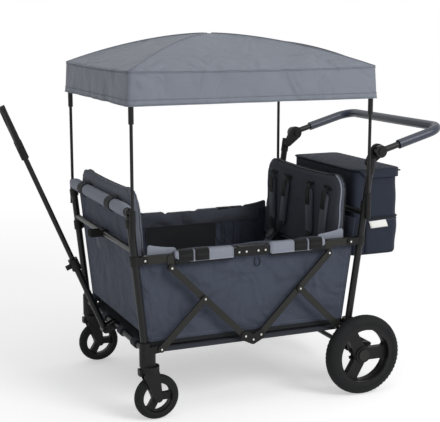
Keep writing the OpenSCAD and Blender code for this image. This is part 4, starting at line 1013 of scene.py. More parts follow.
class WAGON_OT_tub(bpy.types.Operator):
    """Tub walls as creased sheets with bindings, dark lining, net pockets and seams"""

    bl_idname = "wagon.tub"
    bl_label = "Tub walls"

    # Middle, direction, half length, half width and height of each fold
    FOLDS = [
        (0, 470, 90, 40, 16, 1.0), (-70, 440, 55, 90, 14, 0.9), (80, 435, 125, 80, 15, 0.9),
        (-190, 400, 35, 80, 18, 0.8), (170, 410, 140, 85, 16, 0.8), (-250, 330, 80, 70, 16, 0.7),
        (240, 330, 100, 70, 14, 0.8), (20, 330, 15, 110, 20, 0.7), (-60, 280, 150, 80, 16, 0.6),
        (110, 290, 30, 80, 16, 0.7), (-300, 440, 60, 50, 10, 0.9), (290, 450, 120, 50, 10, 0.9),
        (-140, 300, 100, 60, 12, 0.6), (200, 270, 160, 60, 12, 0.6),
    ]
    END_FOLDS = [
        (0, 420, 20, 150, 22, 0.5), (-150, 330, 100, 80, 20, 0.6), (140, 470, 75, 90, 22, 0.6),
        (60, 300, 160, 90, 18, 0.5),
    ]
    FLAP_TOP, FLAP_DROP, FLAP_HALF = 512, 47, 300
    POCKET_FRONT, POCKET_REAR = -134, 130
    POCKET_TOP, POCKET_LOW = 470, 285
    PANEL_SEAMS = (156, 168, 203, 235, -160, -172, -207, -239)
    PANEL_TOP, PANEL_LOW = 466, 300
    RAIL_FLAP_X, RAIL_FLAP_Z, RAIL_FLAP_HALF, RAIL_FLAP_TALL = 284, 494, 48, 34

    def side(self, sign, name):
        nu, nv = 130, 52
        rows = []
        for zz in np.linspace(WALL_LOW, WALL_TOP, nv):
            x = np.linspace(POST_GAP - post_x(zz, FRONT_LEAN), post_x(zz, REAR_LEAN) - POST_GAP, nu)
            depth = sizes().wall_fold / MM * creases(x * -sign, np.full(nu, zz), self.FOLDS)
            edge = np.clip(np.minimum(x - x[0], x[-1] - x) / 30, 0, 1) * min(1.0, (zz - WALL_LOW) / 20)
            slack = 1.6 * np.sin(x / 23 + 2 * np.sin(zz / 60)) * max(0.0, (zz - 420) / 80) ** 2
            y = sign * (WALL_Y + 1.2 + (depth - 1.0 + 0.4 * slack) * edge)
            rows.append(np.stack([x, y, np.full(nu, zz)], 1))
        o = hang(name, rows, "tub", sign > 0, WALL_CLOTH)
        seat_piece(o, ROOT, (name.replace("_cloth", ""),), WALL_FOLD)
        low = rows[0] + (0, sign * 0.6, 5)
        bind = ribbon(name + "_binding", low, (0, 0, 1), width=12, thickness=3.6)
        seat_piece(bind, ROOT, fold=WALL_FOLD)
        return rows

    def lining(self, sign, name):
        """Inside of a side wall: a slack flap over a net pocket, with seamed panels to either side."""
        y = sign * (WALL_Y - 3.4)
        nu, nv = 90, 12
        x = np.linspace(-self.FLAP_HALF, self.FLAP_HALF, nu)
        rows = []
        for k in range(nv):
            t = k / (nv - 1)
            zz = self.FLAP_TOP - self.FLAP_DROP * t + 1.8 * np.sin(x / 31 + 0.7) * (1 - t)
            ripple = 0.72 + 0.28 * np.sin(x / 22 + 1.5 * np.sin(x / 57))
            puff = 7.5 * math.sin(math.pi * min(1, t * 1.1 + 0.02)) ** 0.7 * ripple
            rows.append(np.stack([x, y - sign * (0.6 + puff), zz], 1))
        flap = hang("lining_flap_" + name, rows, "lining", sign < 0, 2.0, 0.0)
        seat_piece(flap, ROOT, fold=WALL_FOLD)
        first, last, top, low = self.POCKET_FRONT, self.POCKET_REAR, self.POCKET_TOP, self.POCKET_LOW
        nu, nv = 45, 22
        x = np.linspace(first, last, nu)
        rows = []
        for k in range(nv):
            t = k / (nv - 1)
            belly = 2.2 * math.sin(math.pi * t) * np.sin(np.pi * (x - first) / (last - first))
            rows.append(np.stack([x, y - sign * (0.8 + belly), np.full(nu, top - (top - low) * t)], 1))
        net = hang("net_pocket_" + name, rows, "net", sign < 0, 0.8, 0.0)
        seat_piece(net, ROOT, fold=WALL_FOLD)
        lines = [(first, top, first, low, 1.5), (last, top, last, low, 1.5), (first, low, last, low, 1.5)]
        lines += [(xs, self.PANEL_TOP, xs, self.PANEL_LOW, 1.2) for xs in self.PANEL_SEAMS]
        parts = []
        for x0, z0, x1, z1, out in lines:
            path = np.linspace((x0, y - sign * out, z0), (x1, y - sign * out, z1), 24)
            parts.append(tube_mesh(path, 1.4, 6))
        seam = build("lining_seams_" + name, *merge(parts), "lining", outward=True)
        seat_piece(seam, ROOT, fold=WALL_FOLD)

    def end(self, front):
        lean = FRONT_LEAN if front else REAR_LEAN
        top = TOP_BAR_Z - 26 if front else CROSS_Z - 20
        half = WALL_Y - WALL_CLOTH
        nu, nv = 70, 60
        y = np.linspace(-half, half, nu)
        edge = np.clip((half - np.abs(y)) / 25, 0, 1)
        rows = []
        for zz in np.linspace(END_LOW, top, nv):
            wave = 2.2 * creases(y, np.full(nu, zz), self.END_FOLDS)
            x = post_x(zz, lean) - POST_GAP + 1.4 - wave * edge
            rows.append(np.stack([-x if front else x, y, np.full(nu, zz)], 1))
        name = "front_wall" if front else "rear_wall"
        o = hang(name + "_cloth", rows, "tub", not front, WALL_CLOTH)
        o.data.flip_normals()
        body = "front_frame" if front else ROOT
        seat_piece(o, body, (name,))
        out = -0.8 if front else 0.8
        paths = [rows[0] + (out, 0, 8)]
        paths += [np.array([r[k] for r in rows]) + (out, inset, 0) for k, inset in ((0, 4), (-1, -4))]
        stitches(name + "_stitches", paths, body)

    def flap(self, sx, sign, name):
        """Padded flap that stands on the wall's top edge behind the bare end of a rail."""
        half = self.RAIL_FLAP_HALF
        v, f = cushion_shape(
            half, self.RAIL_FLAP_TALL, crown=(4.5, 3.5), corners=(12, 4), pull=2, grid=(24, 12))[:2]
        across = v[:, 1]
        rise = 14 * np.clip((across + half) / (2 * half), 0, 1)
        z = self.RAIL_FLAP_Z + v[:, 2] * (0.75 + rise / 56) + rise * 0.5
        place = np.stack([sx * (self.RAIL_FLAP_X + across), sign * (WALL_Y - v[:, 0] + 1.0), z], 1)
        o = build("rail_flap_" + name, place, f, "pad", outward=True)
        inner_side(o)
        seat_piece(o, ROOT, fold=WALL_FOLD)

    def execute(self, context):
        for sign, name in ((-1, "left"), (1, "right")):
            rows = self.side(sign, "side_wall_%s_cloth" % name)
            self.lining(sign, name)
            seam = [np.array([r[k] for r in rows[1:]]) + (0, sign * 0.5, 0) for k in (3, -4)]
            seam.append(rows[4][4:-4] + (0, sign * 0.5, 0))
            stitches("side_wall_%s_stitches" % name, seam, ROOT, fold=WALL_FOLD)
            tab = [(28 + 10 * math.sin(w), sign * (WALL_Y + 3.2 + 1.6 * math.cos(w)), 452 - 12 * math.cos(w))
                   for w in np.linspace(-2.6, 2.6, 18)]
            loop = ribbon("pull_tab_" + name, tab, (0, sign, 0), width=3, thickness=1.4)
            seat_piece(loop, ROOT, fold=WALL_FOLD)
            for sx in (-1, 1):
                self.flap(sx, sign, "%s_%s" % ("rear" if sx > 0 else "front", name))
        self.end(True)
        self.end(False)
        return {"FINISHED"}


class WAGON_OT_rail_pads(bpy.types.Operator):
    """Padded sleeves of the rails and the front top bar, with piping and strap bands"""

    bl_idname = "wagon.rail_pads"
    bl_label = "Rail pads"

    START, END = 61, 252
    HALF, BORE, TIES = (13.6, 21.5), (6.3, 12.8), (0.555, 0.815)
    STRAPS = ((143, 188), (194, 240))
    BUCKLE = (43, 25, 2.6)
    TOP_HALF, TOP_ROUND, TOP_BORE, TOP_TIES = 287, 19.6, 11.3, (0.24, 0.76)

    def sleeve(self, name, start, end, half, bore, ties, along):
        """A padded sleeve, pinched at its ties; along turns a length and two offsets into a place."""
        rings, sides = 64, 28
        boxy = half[0] != half[1]
        verts = []
        for i in range(rings + 1):
            s = i / rings
            g = 0.74 + 0.26 * math.sqrt(min(1.0, s / 0.05, (1 - s) / 0.05))
            g -= sum(0.045 * math.exp(-((s - t) / 0.05) ** 4) for t in ties)
            g += 0.012 * math.sin(s * 31) * math.sin(s * 13)
            for w in circle(sides):
                cy, cz = math.cos(w), math.sin(w)
                if boxy:
                    cy, cz = (math.copysign(abs(q) ** 0.55, q) for q in (cy, cz))
                verts.append(along(start + (end - start) * s, half[0] * g * cy, half[1] * g * cz))
        base = len(verts)
        for p in (start, end):
            for w in circle(sides):
                cy, cz = math.cos(w), math.sin(w)
                m = max(abs(cy), abs(cz)) if boxy else 1.0
                verts.append(along(p, bore[0] * cy / m, bore[1] * cz / m))
        faces = grid_faces(rings + 1, sides, True) + grid_faces(2, sides, True, base, flip=True)
        last = rings * sides
        for k in range(sides):
            q = (k + 1) % sides
            faces.append((k, q, base + q, base + k))
            faces.append((last + k, base + sides + k, base + sides + q, last + q))
        return build(name, verts, faces, "pad", outward=True)

    def edge_z(self, p):
        """Height of the binding's upper edge, which curves up at the sleeve's outer end."""
        return RAIL_Z - 12 + 16 * max(0.0, (p - 196) / 56) ** 2

    def binding(self, o):
        """Gives the lower edge of a sleeve its dark binding."""
        o.data.materials.append(finish_of("webbing"))
        for f in o.data.polygons:
            if f.center.z / MM < self.edge_z(abs(f.center.x) / MM):
                f.material_index = 1

    def over(self, x, y, sign):
        """Path of a strap over the top of a sleeve, from its outer side to its inner side."""
        path = []
        for w in np.linspace(-0.03, math.pi + 0.35, 40):
            cy, cz = (math.copysign(abs(q) ** 0.5, q) for q in (math.cos(w), math.sin(w)))
            path.append((x, y - sign * 14.4 * cy, RAIL_Z + 22.0 * cz))
        return path

    def tab(self, cx, y, cz, sign):
        """A buckle tab: a rounded plate with two raised bars across."""
        w, h, t = self.BUCKLE
        bar = (w * 0.84, h * 0.16, t * 1.9)
        bm = bmesh.new()
        for (wide, tall, thick), up in (((w, h, t), 0), (bar, h * 0.3), (bar, -h * 0.3)):
            shift = Matrix.Translation((cx, y + sign * thick / 2, cz + up))
            block = shift @ Matrix.Diagonal((wide, thick, tall, 1))
            made = bmesh.ops.create_cube(bm, size=1.0, matrix=block)
            edges = list({e for v in made["verts"] for e in v.link_edges})
            bmesh.ops.bevel(bm, geom=edges, offset=min(thick * 0.45, 1.4), segments=2, affect="EDGES")
        verts = np.array([v.co for v in bm.verts])
        faces = [tuple(v.index for v in f.verts) for f in bm.faces]
        bm.free()
        return verts, faces

    def rail_end(self, end, sx, body):
        """Both sleeves of one pair of rails, with their trim."""
        pads, pipes, bands, tabs, paths = [], [], [], [], []
        for sign in (-1, 1):
            y = sign * POST_Y
            along = lambda p, q, r: (sx * p, y + q, RAIL_Z + r)
            pad = self.sleeve("pad", self.START, self.END, self.HALF, self.BORE, self.TIES, along)
            self.binding(pad)
            inner_side(pad)
            pads.append(pad)
            line = [(sx * p, y + sign * 13.2, self.edge_z(p)) for p in np.linspace(64, 249, 40)]
            pipes.append(tube_mesh(line, 1.8, 6))
            paths.append([(sx * p, y + sign * 13.4, RAIL_Z - 13) for p in np.linspace(66, 140, 20)])
            paths.append([(sx * 66, y + sign * 13.0, RAIL_Z + q) for q in np.linspace(-13, 13, 8)])
            for x0, x1 in self.STRAPS:
                x = sx * (x0 + x1) / 2
                path = self.over(x, y, sign)
                bands.append(ribbon("strap", path, (1, 0, 0), width=x1 - x0, thickness=1.6))
                tabs.append(self.tab(x, y + sign * 14.6, RAIL_Z + 5.5, sign))
        o = join(end + "_rail_sleeves", pads)
        seat_piece(o, body, (end + "_rail_pads",))
        seat_piece(join(end + "_rail_straps", bands), body)
        pipe = build(end + "_rail_piping", *merge(pipes), "piping", outward=True)
        seat_piece(pipe, body)
        buckles = build(end + "_rail_buckles", *merge(tabs), "plastic", outward=True, smooth=False)
        seat_piece(buckles, body)
        stitches(end + "_rail_stitches", paths, body)

    def top_pad(self):
        x = -post_x(TOP_BAR_Z, FRONT_LEAN)
        along = lambda p, q, r: (x + q, p, TOP_BAR_Z + r)
        half = (self.TOP_ROUND, self.TOP_ROUND)
        bore = (self.TOP_BORE, self.TOP_BORE)
        o = self.sleeve("top_bar_sleeve", -self.TOP_HALF, self.TOP_HALF, half, bore, self.TOP_TIES, along)
        seat_piece(o, "front_frame", ("front_top_pad",))
        out, down = 19.8 * math.cos(0.6), 19.8 * math.sin(0.6)
        seam = [(x - out, y, TOP_BAR_Z - down) for y in np.linspace(-275, 275, 60)]
        stitches("top_bar_stitches", [seam], "front_frame")

    def execute(self, context):
        self.rail_end("rear", 1, "rear_rail_pair")
        self.rail_end("front", -1, "front_rail_pair")
        self.top_pad()
        return {"FINISHED"}


class WAGON_OT_backrests(bpy.types.Operator):
    """Both backrests: swollen pads with piping, strap loops and stitched borders"""

    bl_idname = "wagon.backrests"
    bl_label = "Backrests"

    STRAP_Y = 148.0
    CROWN, CORNERS, PULL = (22, 6), (62, 11), 7

    def pucker(self, o):
        """Pulls the outer face of the front backrest up round the two straps that tie it to the bar."""
        for v in o.data.vertices:
            x, y, z = v.co / MM
            behind = -FRONT_BACK_X - (z - BACK_LOW) * math.tan(math.radians(FRONT_BACK_LEAN)) - x
            if behind > 0:
                for sy in (-self.STRAP_Y, self.STRAP_Y):
                    near = math.exp(-((y - sy) / 30) ** 2 - ((z - 672) / 13) ** 2)
                    near -= 0.8 * math.exp(-((y - sy) / 26) ** 2 - ((z - 650) / 9) ** 2)
                    v.co.x -= 5.5 * MM * near * min(1.0, behind / 3)

    def one(self, front):
        name = "front_backrest" if front else "rear_backrest"
        body = "front_frame" if front else ROOT
        x, lean = (FRONT_BACK_X, FRONT_BACK_LEAN) if front else (REAR_BACK_X, REAR_BACK_LEAN)
        cover = "shell" if front else "seat"
        trim = "shell" if front else "webbing"
        v, f = cushion_shape(
            BACK_HALF - 3, BACK_TALL - 4, self.CROWN, self.CORNERS, self.PULL, grid=(60, 48), power=0.06)[:2]
        place = lambda p: lean_place(p, x, BACK_LOW + 2, lean, front)
        o = build(name + "_pad", place(v), f, cover, outward=True)
        plump(o, cover, pressure=2.5, voxel=0.0065, cap=0.004)
        if front:
            self.pucker(o)
        seat_piece(o, body, (name,))
        big = cushion_shape(
            BACK_HALF - 2, BACK_TALL - 3, self.CROWN, self.CORNERS, self.PULL, grid=(44, 40))[2]
        upper = (big[:, 2] > BACK_TALL / 2) & (np.abs(big[:, 1]) < BACK_HALF - 52)
        turn = -int(np.flatnonzero(upper)[-1])
        count = int(upper.sum())
        for edge, at in (("", 17.0), ("_back", -2.0)):
            line = np.roll(onto(o, place(big + (at, 0, -0.5)), 0.3), turn, 0)
            round_key = trim if edge or front else "piping"
            top = np.concatenate([line[1 - count:], line[:1]])
            runs = (("_piping", line[:len(line) - count + 2], round_key), ("_top_piping", top, trim))
            for part, path, key in runs:
                seat_piece(tube(name + edge + part, path, sizes().piping / MM, key), body)
        inner = cushion_shape(
            BACK_HALF - 26, BACK_TALL - 50, crown=(28, 8), corners=(46, 11), pull=self.PULL, grid=(44, 40))[2]
        inner = inner + (27.0, 0, 25)
        border = onto(o, place(np.concatenate([inner, inner[:1]])))
        stitches(name + "_stitches", [border], body, "seat")

    def execute(self, context):
        self.one(False)
        self.one(True)
        places = (-self.STRAP_Y, self.STRAP_Y)
        x, z = -post_x(TOP_BAR_Z, FRONT_LEAN), TOP_BAR_Z
        path = round_bar(x, z, 21.2, 0.55, 2 * math.pi - 0.55, 40)
        path = [(x + 27.5, z + 18)] + path + [(x + 26.5, z - 16)]
        strap_loops("front_strap_loops", "front_frame", places, path, width=46, thickness=1.8)
        x, z = REAR_BACK_X + 16.5, CROSS_Z
        path = round_bar(post_x(z, REAR_LEAN), z, 11.2, 2.9, -2.9, 30)
        path = [(x, z + 2)] + path + [(x, z - 2)]
        strap_loops("rear_strap_loops", ROOT, places, path, width=28, thickness=1.6)
        return {"FINISHED"}


class WAGON_OT_harness(bpy.types.Operator):
    """Two harness sets: shoulder pads, slots and webbing"""

    bl_idname = "wagon.harness"
    bl_label = "Harness"

    SIDES = (-47, 47)
    PAD_LOW, PAD_TALL, PAD_HALF = 479.0, 153, 20.5
    PAD_TURN = 6.0
    SLOT_HALF, SLOT_TALL, SLOT_Z = 24, 5.5, 172
    UPPER_STRAP = [(9.2, 0, 100), (11.2, 0, 140), (10.5, 0, 156), (4.0, 0, 168), (-4.5, 0, 172)]
    # The middle number is a share of the way back to the middle of the set
    LOWER_STRAP = [(7, 0, 12), (8.5, 0, 0), (9, -0.16, -22), (12, -0.5, -48), (20, -0.86, -68)]

    def place(self, p, x, y, side):
        """Turns a shoulder pad in its own plane, so that a pair comes closer below, and puts it in place."""
        p = np.array(p)
        a = math.radians(math.copysign(self.PAD_TURN, side))
        mid = self.PAD_TALL / 2
        across, up = p[..., 1], p[..., 2] - mid
        turned = np.stack([p[..., 0], across * math.cos(a) + up * math.sin(a),
                           mid + up * math.cos(a) - across * math.sin(a)], -1)
        return lean_place(turned, x, self.PAD_LOW, REAR_BACK_LEAN, False) + (0, y, 0)

    def execute(self, context):
        pads, slots, straps, paths = [], [], [], []
        v, f = cushion_shape(
            self.PAD_HALF, self.PAD_TALL, crown=(10, 3), corners=(16, 16), pull=1, grid=(14, 40))[:2]
        back = REAR_BACK_X + (self.PAD_LOW - BACK_LOW) * math.tan(math.radians(REAR_BACK_LEAN)) - 3
        for set_y in CHILD_PLACES:
            for side in self.SIDES:
                y = set_y + side
                u = (abs(y) - 10.5) / (BACK_HALF - 7)
                x = back - (28 * (1 - u * u) ** 0.17 + 0.6)
                place = lambda p: self.place(p, x, y, side)
                pads.append(build("pad", place(v), f, "pads", outward=True))
                for w in (-14.5, 14.5):
                    paths.append(place([(8.2, w, q) for q in np.linspace(18, 136, 24)]))
                lower = [(out, share * side, z) for out, share, z in self.LOWER_STRAP]
                straps += [(place(self.UPPER_STRAP), 24), (place(lower), 22)]
                slot = [(-1.5, self.SLOT_HALF * math.cos(w), self.SLOT_Z + self.SLOT_TALL * math.sin(w))
                        for w in circle(28)]
                slots.append(tube_mesh(place(slot), 2.2, 6, True))
        o = join("shoulder_pads", pads)
        seat_piece(o, ROOT, ("harness",))
        made = [ribbon("strap", p, (0, 1, 0), width=w, thickness=1.8) for p, w in straps]
        seat_piece(join("harness_webbing", made), ROOT)
        seat_piece(build("harness_slots", *merge(slots), "webbing", outward=True), ROOT)
        stitches("shoulder_pad_stitches", paths, ROOT)
        return {"FINISHED"}


class WAGON_OT_seats(bpy.types.Operator):
    """Seat cushions with their skirts, and a padded crotch strap with a buckle for each child"""

    bl_idname = "wagon.seats"
    bl_label = "Seats"

    HALF, DEEP, BACK_X = 258, 181, 332
    SKIRT_X, SKIRT_HALF, SKIRT_LOW = 176, 236, 216.6
    PAD_X, PAD_Z, PAD_LEAN = 256, 398.2, 40.0
    BUCKLE_OUT, BUCKLE_UP = 8.0, 46.0
    # Radius and height of each ring of a buckle, from its middle to its back
    BUCKLE_RINGS = [(0.01, 3.0), (9.0, 3.0), (10.0, 2.0), (11.5, 2.0), (12.5, 4.2), (17.0, 4.0), (19.0, 2.0),
                    (19.5, 0.0), (18.0, -4.0)]

    def one(self, front):
        name = "front_seat" if front else "rear_seat"
        body = "front_frame" if front else ROOT
        sx = -1 if front else 1
        fold = seat_fold(sx)
        v, f, rim = cushion_shape(
            self.HALF, self.DEEP, crown=(25, 10), corners=(26, 26), pull=5, grid=(40, 28), power=0.22,
            dips=((0, 0.045, 6),))
        rest_z = SEAT_LOW + 13.2
        place = lambda p: np.stack([sx * (self.BACK_X - p[..., 2]), p[..., 1], rest_z + p[..., 0]], -1)
        o = build(name + "_cushion", place(v), f, "seat", outward=True)
        plump(o, "seat", pressure=3.0, voxel=0.007, cap=0.0045)
        seat_piece(o, body, (name,), fold)
        pipe = tube(name + "_piping", place(rim + (0.5, 0, 0)), sizes().piping / MM, "webbing", 8, True)
        seat_piece(pipe, body, fold=fold)
        y = np.linspace(-self.SKIRT_HALF, self.SKIRT_HALF, 40)
        rows = []
        for z in np.linspace(SEAT_LOW + 2, self.SKIRT_LOW, 16):
            wave = 1.2 * np.sin(y / 37 + z / 50)
            rows.append(np.stack([sx * (self.SKIRT_X + wave), y, np.full(len(y), z)], 1))
        skirt = hang(name + "_skirt", rows, "lining", not front, 5.0, 0.0)
        seat_piece(skirt, body, fold=fold)

    def reclined(self, p, y):
        """Lays a crotch pad back towards its backrest."""
        a = math.radians(self.PAD_LEAN)
        across = self.PAD_X + p[:, 2] * math.sin(a) - p[:, 0] * math.cos(a)
        return np.stack([across, p[:, 1] + y, self.PAD_Z + p[:, 2] * math.cos(a) + p[:, 0] * math.sin(a)], 1)

    def buckle(self, y):
        """A round buckle with a push button in its middle."""
        n, rings = 28, len(self.BUCKLE_RINGS)
        verts = [(self.BUCKLE_OUT + d, r * math.cos(w), self.BUCKLE_UP + r * math.sin(w))
                 for r, d in self.BUCKLE_RINGS for w in circle(n)]
        faces = grid_faces(rings, n, True) + [tuple(range(n)), tuple((rings - 1) * n + k for k in range(n))]
        return self.reclined(np.array(verts), y), faces

    def execute(self, context):
        self.one(False)
        self.one(True)
        v, f = cushion_shape(19.5, 62, crown=(6, 6), corners=(18, 6), pull=1, grid=(14, 20))[:2]
        pads = [build("pad", self.reclined(v, y), f, "shell", outward=True) for y in CHILD_PLACES]
        o = join("crotch_pads", pads)
        seat_piece(o, ROOT, fold=seat_fold(1))
        buckles = merge([self.buckle(y) for y in CHILD_PLACES])
        b = build("harness_buckles", *buckles, "buckle", outward=True)
        seat_piece(b, ROOT, fold=seat_fold(1))
        return {"FINISHED"}


class WAGON_OT_bag(bpy.types.Operator):
    """Rear bag: a lofted sagging shell with a pocket, a lid, piping and a blank label"""

    bl_idname = "wagon.bag"
    bl_label = "Bag"

    POCKET_TOP, POCKET_START = 541, 42
    LOOP_PLACES = (-100, 100)
    LABEL_X, LABEL_Z, LABEL_LONG, LABEL_TALL = 465, 532, 65, 24

    def loop(self, half_l, half_w):
        """Places close together round a rectangle with round corners."""
        r, n = BAG_CORNER, 12
        a, b = half_l - r, half_w - r
        pts = []
        for cx, cy, start in ((a, b, 0), (-a, b, 90), (-a, -b, 180), (a, -b, 270)):
            for k in range(n + 1):
                w = math.radians(start + 90 * k / n)
                pts.append((cx + r * math.cos(w), cy + r * math.sin(w)))
        out = []
        for p, q in zip(pts, pts[1:] + pts[:1]):
            dx, dy = q[0] - p[0], q[1] - p[1]
            steps = max(1, int(math.hypot(dx, dy) / 12))
            out += [(p[0] + dx * i / steps, p[1] + dy * i / steps) for i in range(steps)]
        return np.array(out)

    def outward(self, ring):
        t = np.roll(ring, -1, 0) - np.roll(ring, 1, 0)
        nrm = np.stack([t[:, 1], -t[:, 0]], 1)
        return nrm / (np.linalg.norm(nrm, axis=1)[:, None] + 1e-9)

    def shell(self, ring, out, turn):
        """Rings of the sagging shell, from the middle of its bottom to its top."""
        half = BAG_DEPTH / 2
        back = np.clip(ring[:, 0] / half, 0, 1)
        keep = np.where(ring[:, 0] < 6 - half, 0.0, 1.0)
        rows = [raised(ring * s, BAG_LOW + 0.5 - 2.0 * (1 - s)) for s in (0.02, 0.3, 0.6, 0.85, 0.95)]
        for z in np.concatenate([[BAG_LOW + 3, BAG_LOW + 8], np.linspace(BAG_LOW + 14, BAG_TOP - 1, 38)]):
            t = (z - BAG_LOW) / (BAG_TOP - BAG_LOW)
            belly = 4.5 * math.sin(math.pi * min(1, t * 1.12)) ** 1.3 * (0.3 + 0.7 * back)
            crease = 1.4 * np.sin(turn * 5 + z / 27) * math.sin(math.pi * min(1, t * 1.1)) * back
            crease = crease + 0.8 * np.sin(turn * 11 - z / 15) * back
            fade = 1 if t < 0.86 else max(0, (1 - t) / 0.14) * 0.6
            inset = -3.0 * max(0.0, 1 - (z - BAG_LOW) / 12)
            rows.append(raised(ring + out * ((belly + crease) * keep * fade + inset)[:, None], z))
        return rows

    def pocket(self, rows, ring, out, turn, middle):
        """Pocket over the lower half of the back and the sides, with its binding and stitches."""
        near = np.flatnonzero(ring[:, 0] > self.POCKET_START - BAG_DEPTH / 2)
        pick = sorted(near, key=lambda k: turn[k])
        push = raised(out[pick], 0.0)
        sheet = [row[pick] + push * 2.6 + middle for row in rows[6:] if row[0, 2] <= self.POCKET_TOP]
        sheet.append(sheet[-1] + (0, 0, 3))
        seat_piece(hang("bag_pocket", sheet, "bag", False, 2.0), ROOT)
        edge = sheet[-1] + (0, 0, 1.0) + push * 0.6
        seat_piece(tube("bag_pocket_binding", edge, 2.2, "webbing"), ROOT)
        stitches("bag_stitches", [edge + (0, 0, -9) + push * 0.6], ROOT)

    def label(self):
        """Blank sewn label on the left side."""
        u = np.linspace(0, 1, 9)
        rows = []
        for v in np.linspace(0, 1, 6):
            out = 7.4 + 0.7 * np.sin(math.pi * u) + 0.4 * math.sin(math.pi * v)
            x = self.LABEL_X + self.LABEL_LONG * u + 9 * v
            rows.append(np.stack([x, -BAG_HALF - out, self.LABEL_Z - self.LABEL_TALL * v + 3 * u], 1))
        seat_piece(hang("bag_label", rows, "label", False, 0.8, 0.0), ROOT)

    def lid(self):
        half_l, half_w = (BAG_DEPTH + 4) / 2, BAG_HALF + 4
        cx = BAG_X + half_l
        ring = self.loop(half_l, half_w)
        out = self.outward(ring)
        n = len(ring)
        rows = []
        for s in (0.01, 0.2, 0.4, 0.6, 0.75, 0.86, 0.94, 0.98):
            ripple = 0.8 * np.sin(ring[:, 1] * s / 40) * s * (1 - s) * 4
            rows.append(raised(ring * s, BAG_TOP + 4.5 + 4.5 * (1 - s ** 3) + ripple))
        edge = len(rows)
        hinge = np.clip((ring[:, 0] + half_l - 20) / 25, 0, 1)
        for t in (0.0, 0.12, 0.3, 0.5, 0.7, 0.85, 1.0):
            z = BAG_TOP + 3.5 - 26.5 * t * hinge - 1.5 * (1 - hinge) * t
            wobble = 0.5 * np.sin(np.arange(n) / 7.0) * t
            rows.append(raised(ring + out * (0.6 + wobble)[:, None], z))
        faces = grid_faces(len(rows), n, True, flip=True) + [tuple(range(n))]
        o = build("bag_lid_cloth", np.concatenate(rows) + (cx, 0, 0), faces, "bag")
        o.data.flip_normals()
        thicken(o, 2.4)
        seat_piece(o, "lid", ("bag_lid",))
        rim = rows[edge] + (cx, 0, 0.4)
        seat_piece(tube("bag_lid_piping", rim, 2.4, "webbing", 8, True), "lid")
        pull = [(cx + half_l + 1.5 + 6 * math.sin(w), -half_w + 14 + 7 * math.cos(w), BAG_TOP - 4)
                for w in np.linspace(-0.6, 3.7, 18)]
        seat_piece(tube("bag_lid_pull", pull, 2.0, "webbing", 8), "lid")

    def execute(self, context):
        middle = (BAG_X + BAG_DEPTH / 2, 0, 0)
        ring = self.loop(BAG_DEPTH / 2, BAG_HALF)
        out = self.outward(ring)
        n = len(ring)
        turn = np.arctan2(ring[:, 1] / BAG_HALF, ring[:, 0] / (BAG_DEPTH / 2))
        rows = self.shell(ring, out, turn)
        faces = grid_faces(len(rows), n, True) + [tuple(range(n))[::-1]]
        o = build("bag_shell", np.concatenate(rows) + middle, faces, "bag")
        thicken(o, 3.0)
        seat_piece(o, ROOT, ("storage_bag",))
        self.pocket(rows, ring, out, turn, middle)
        z = CROSS_Z
        path = [(BAG_X + 2, z - 30), (BAG_X - 0.5, z - 8)]
        path += round_bar(post_x(z, REAR_LEAN), z, 11, -0.6, -5.7, 30)
        path += [(BAG_X - 0.5, z + 8), (BAG_X + 2, z + 30)]
        strap_loops("bag_loops", ROOT, self.LOOP_PLACES, path, width=28, thickness=1.6)
        self.label()
        self.lid()
        return {"FINISHED"}


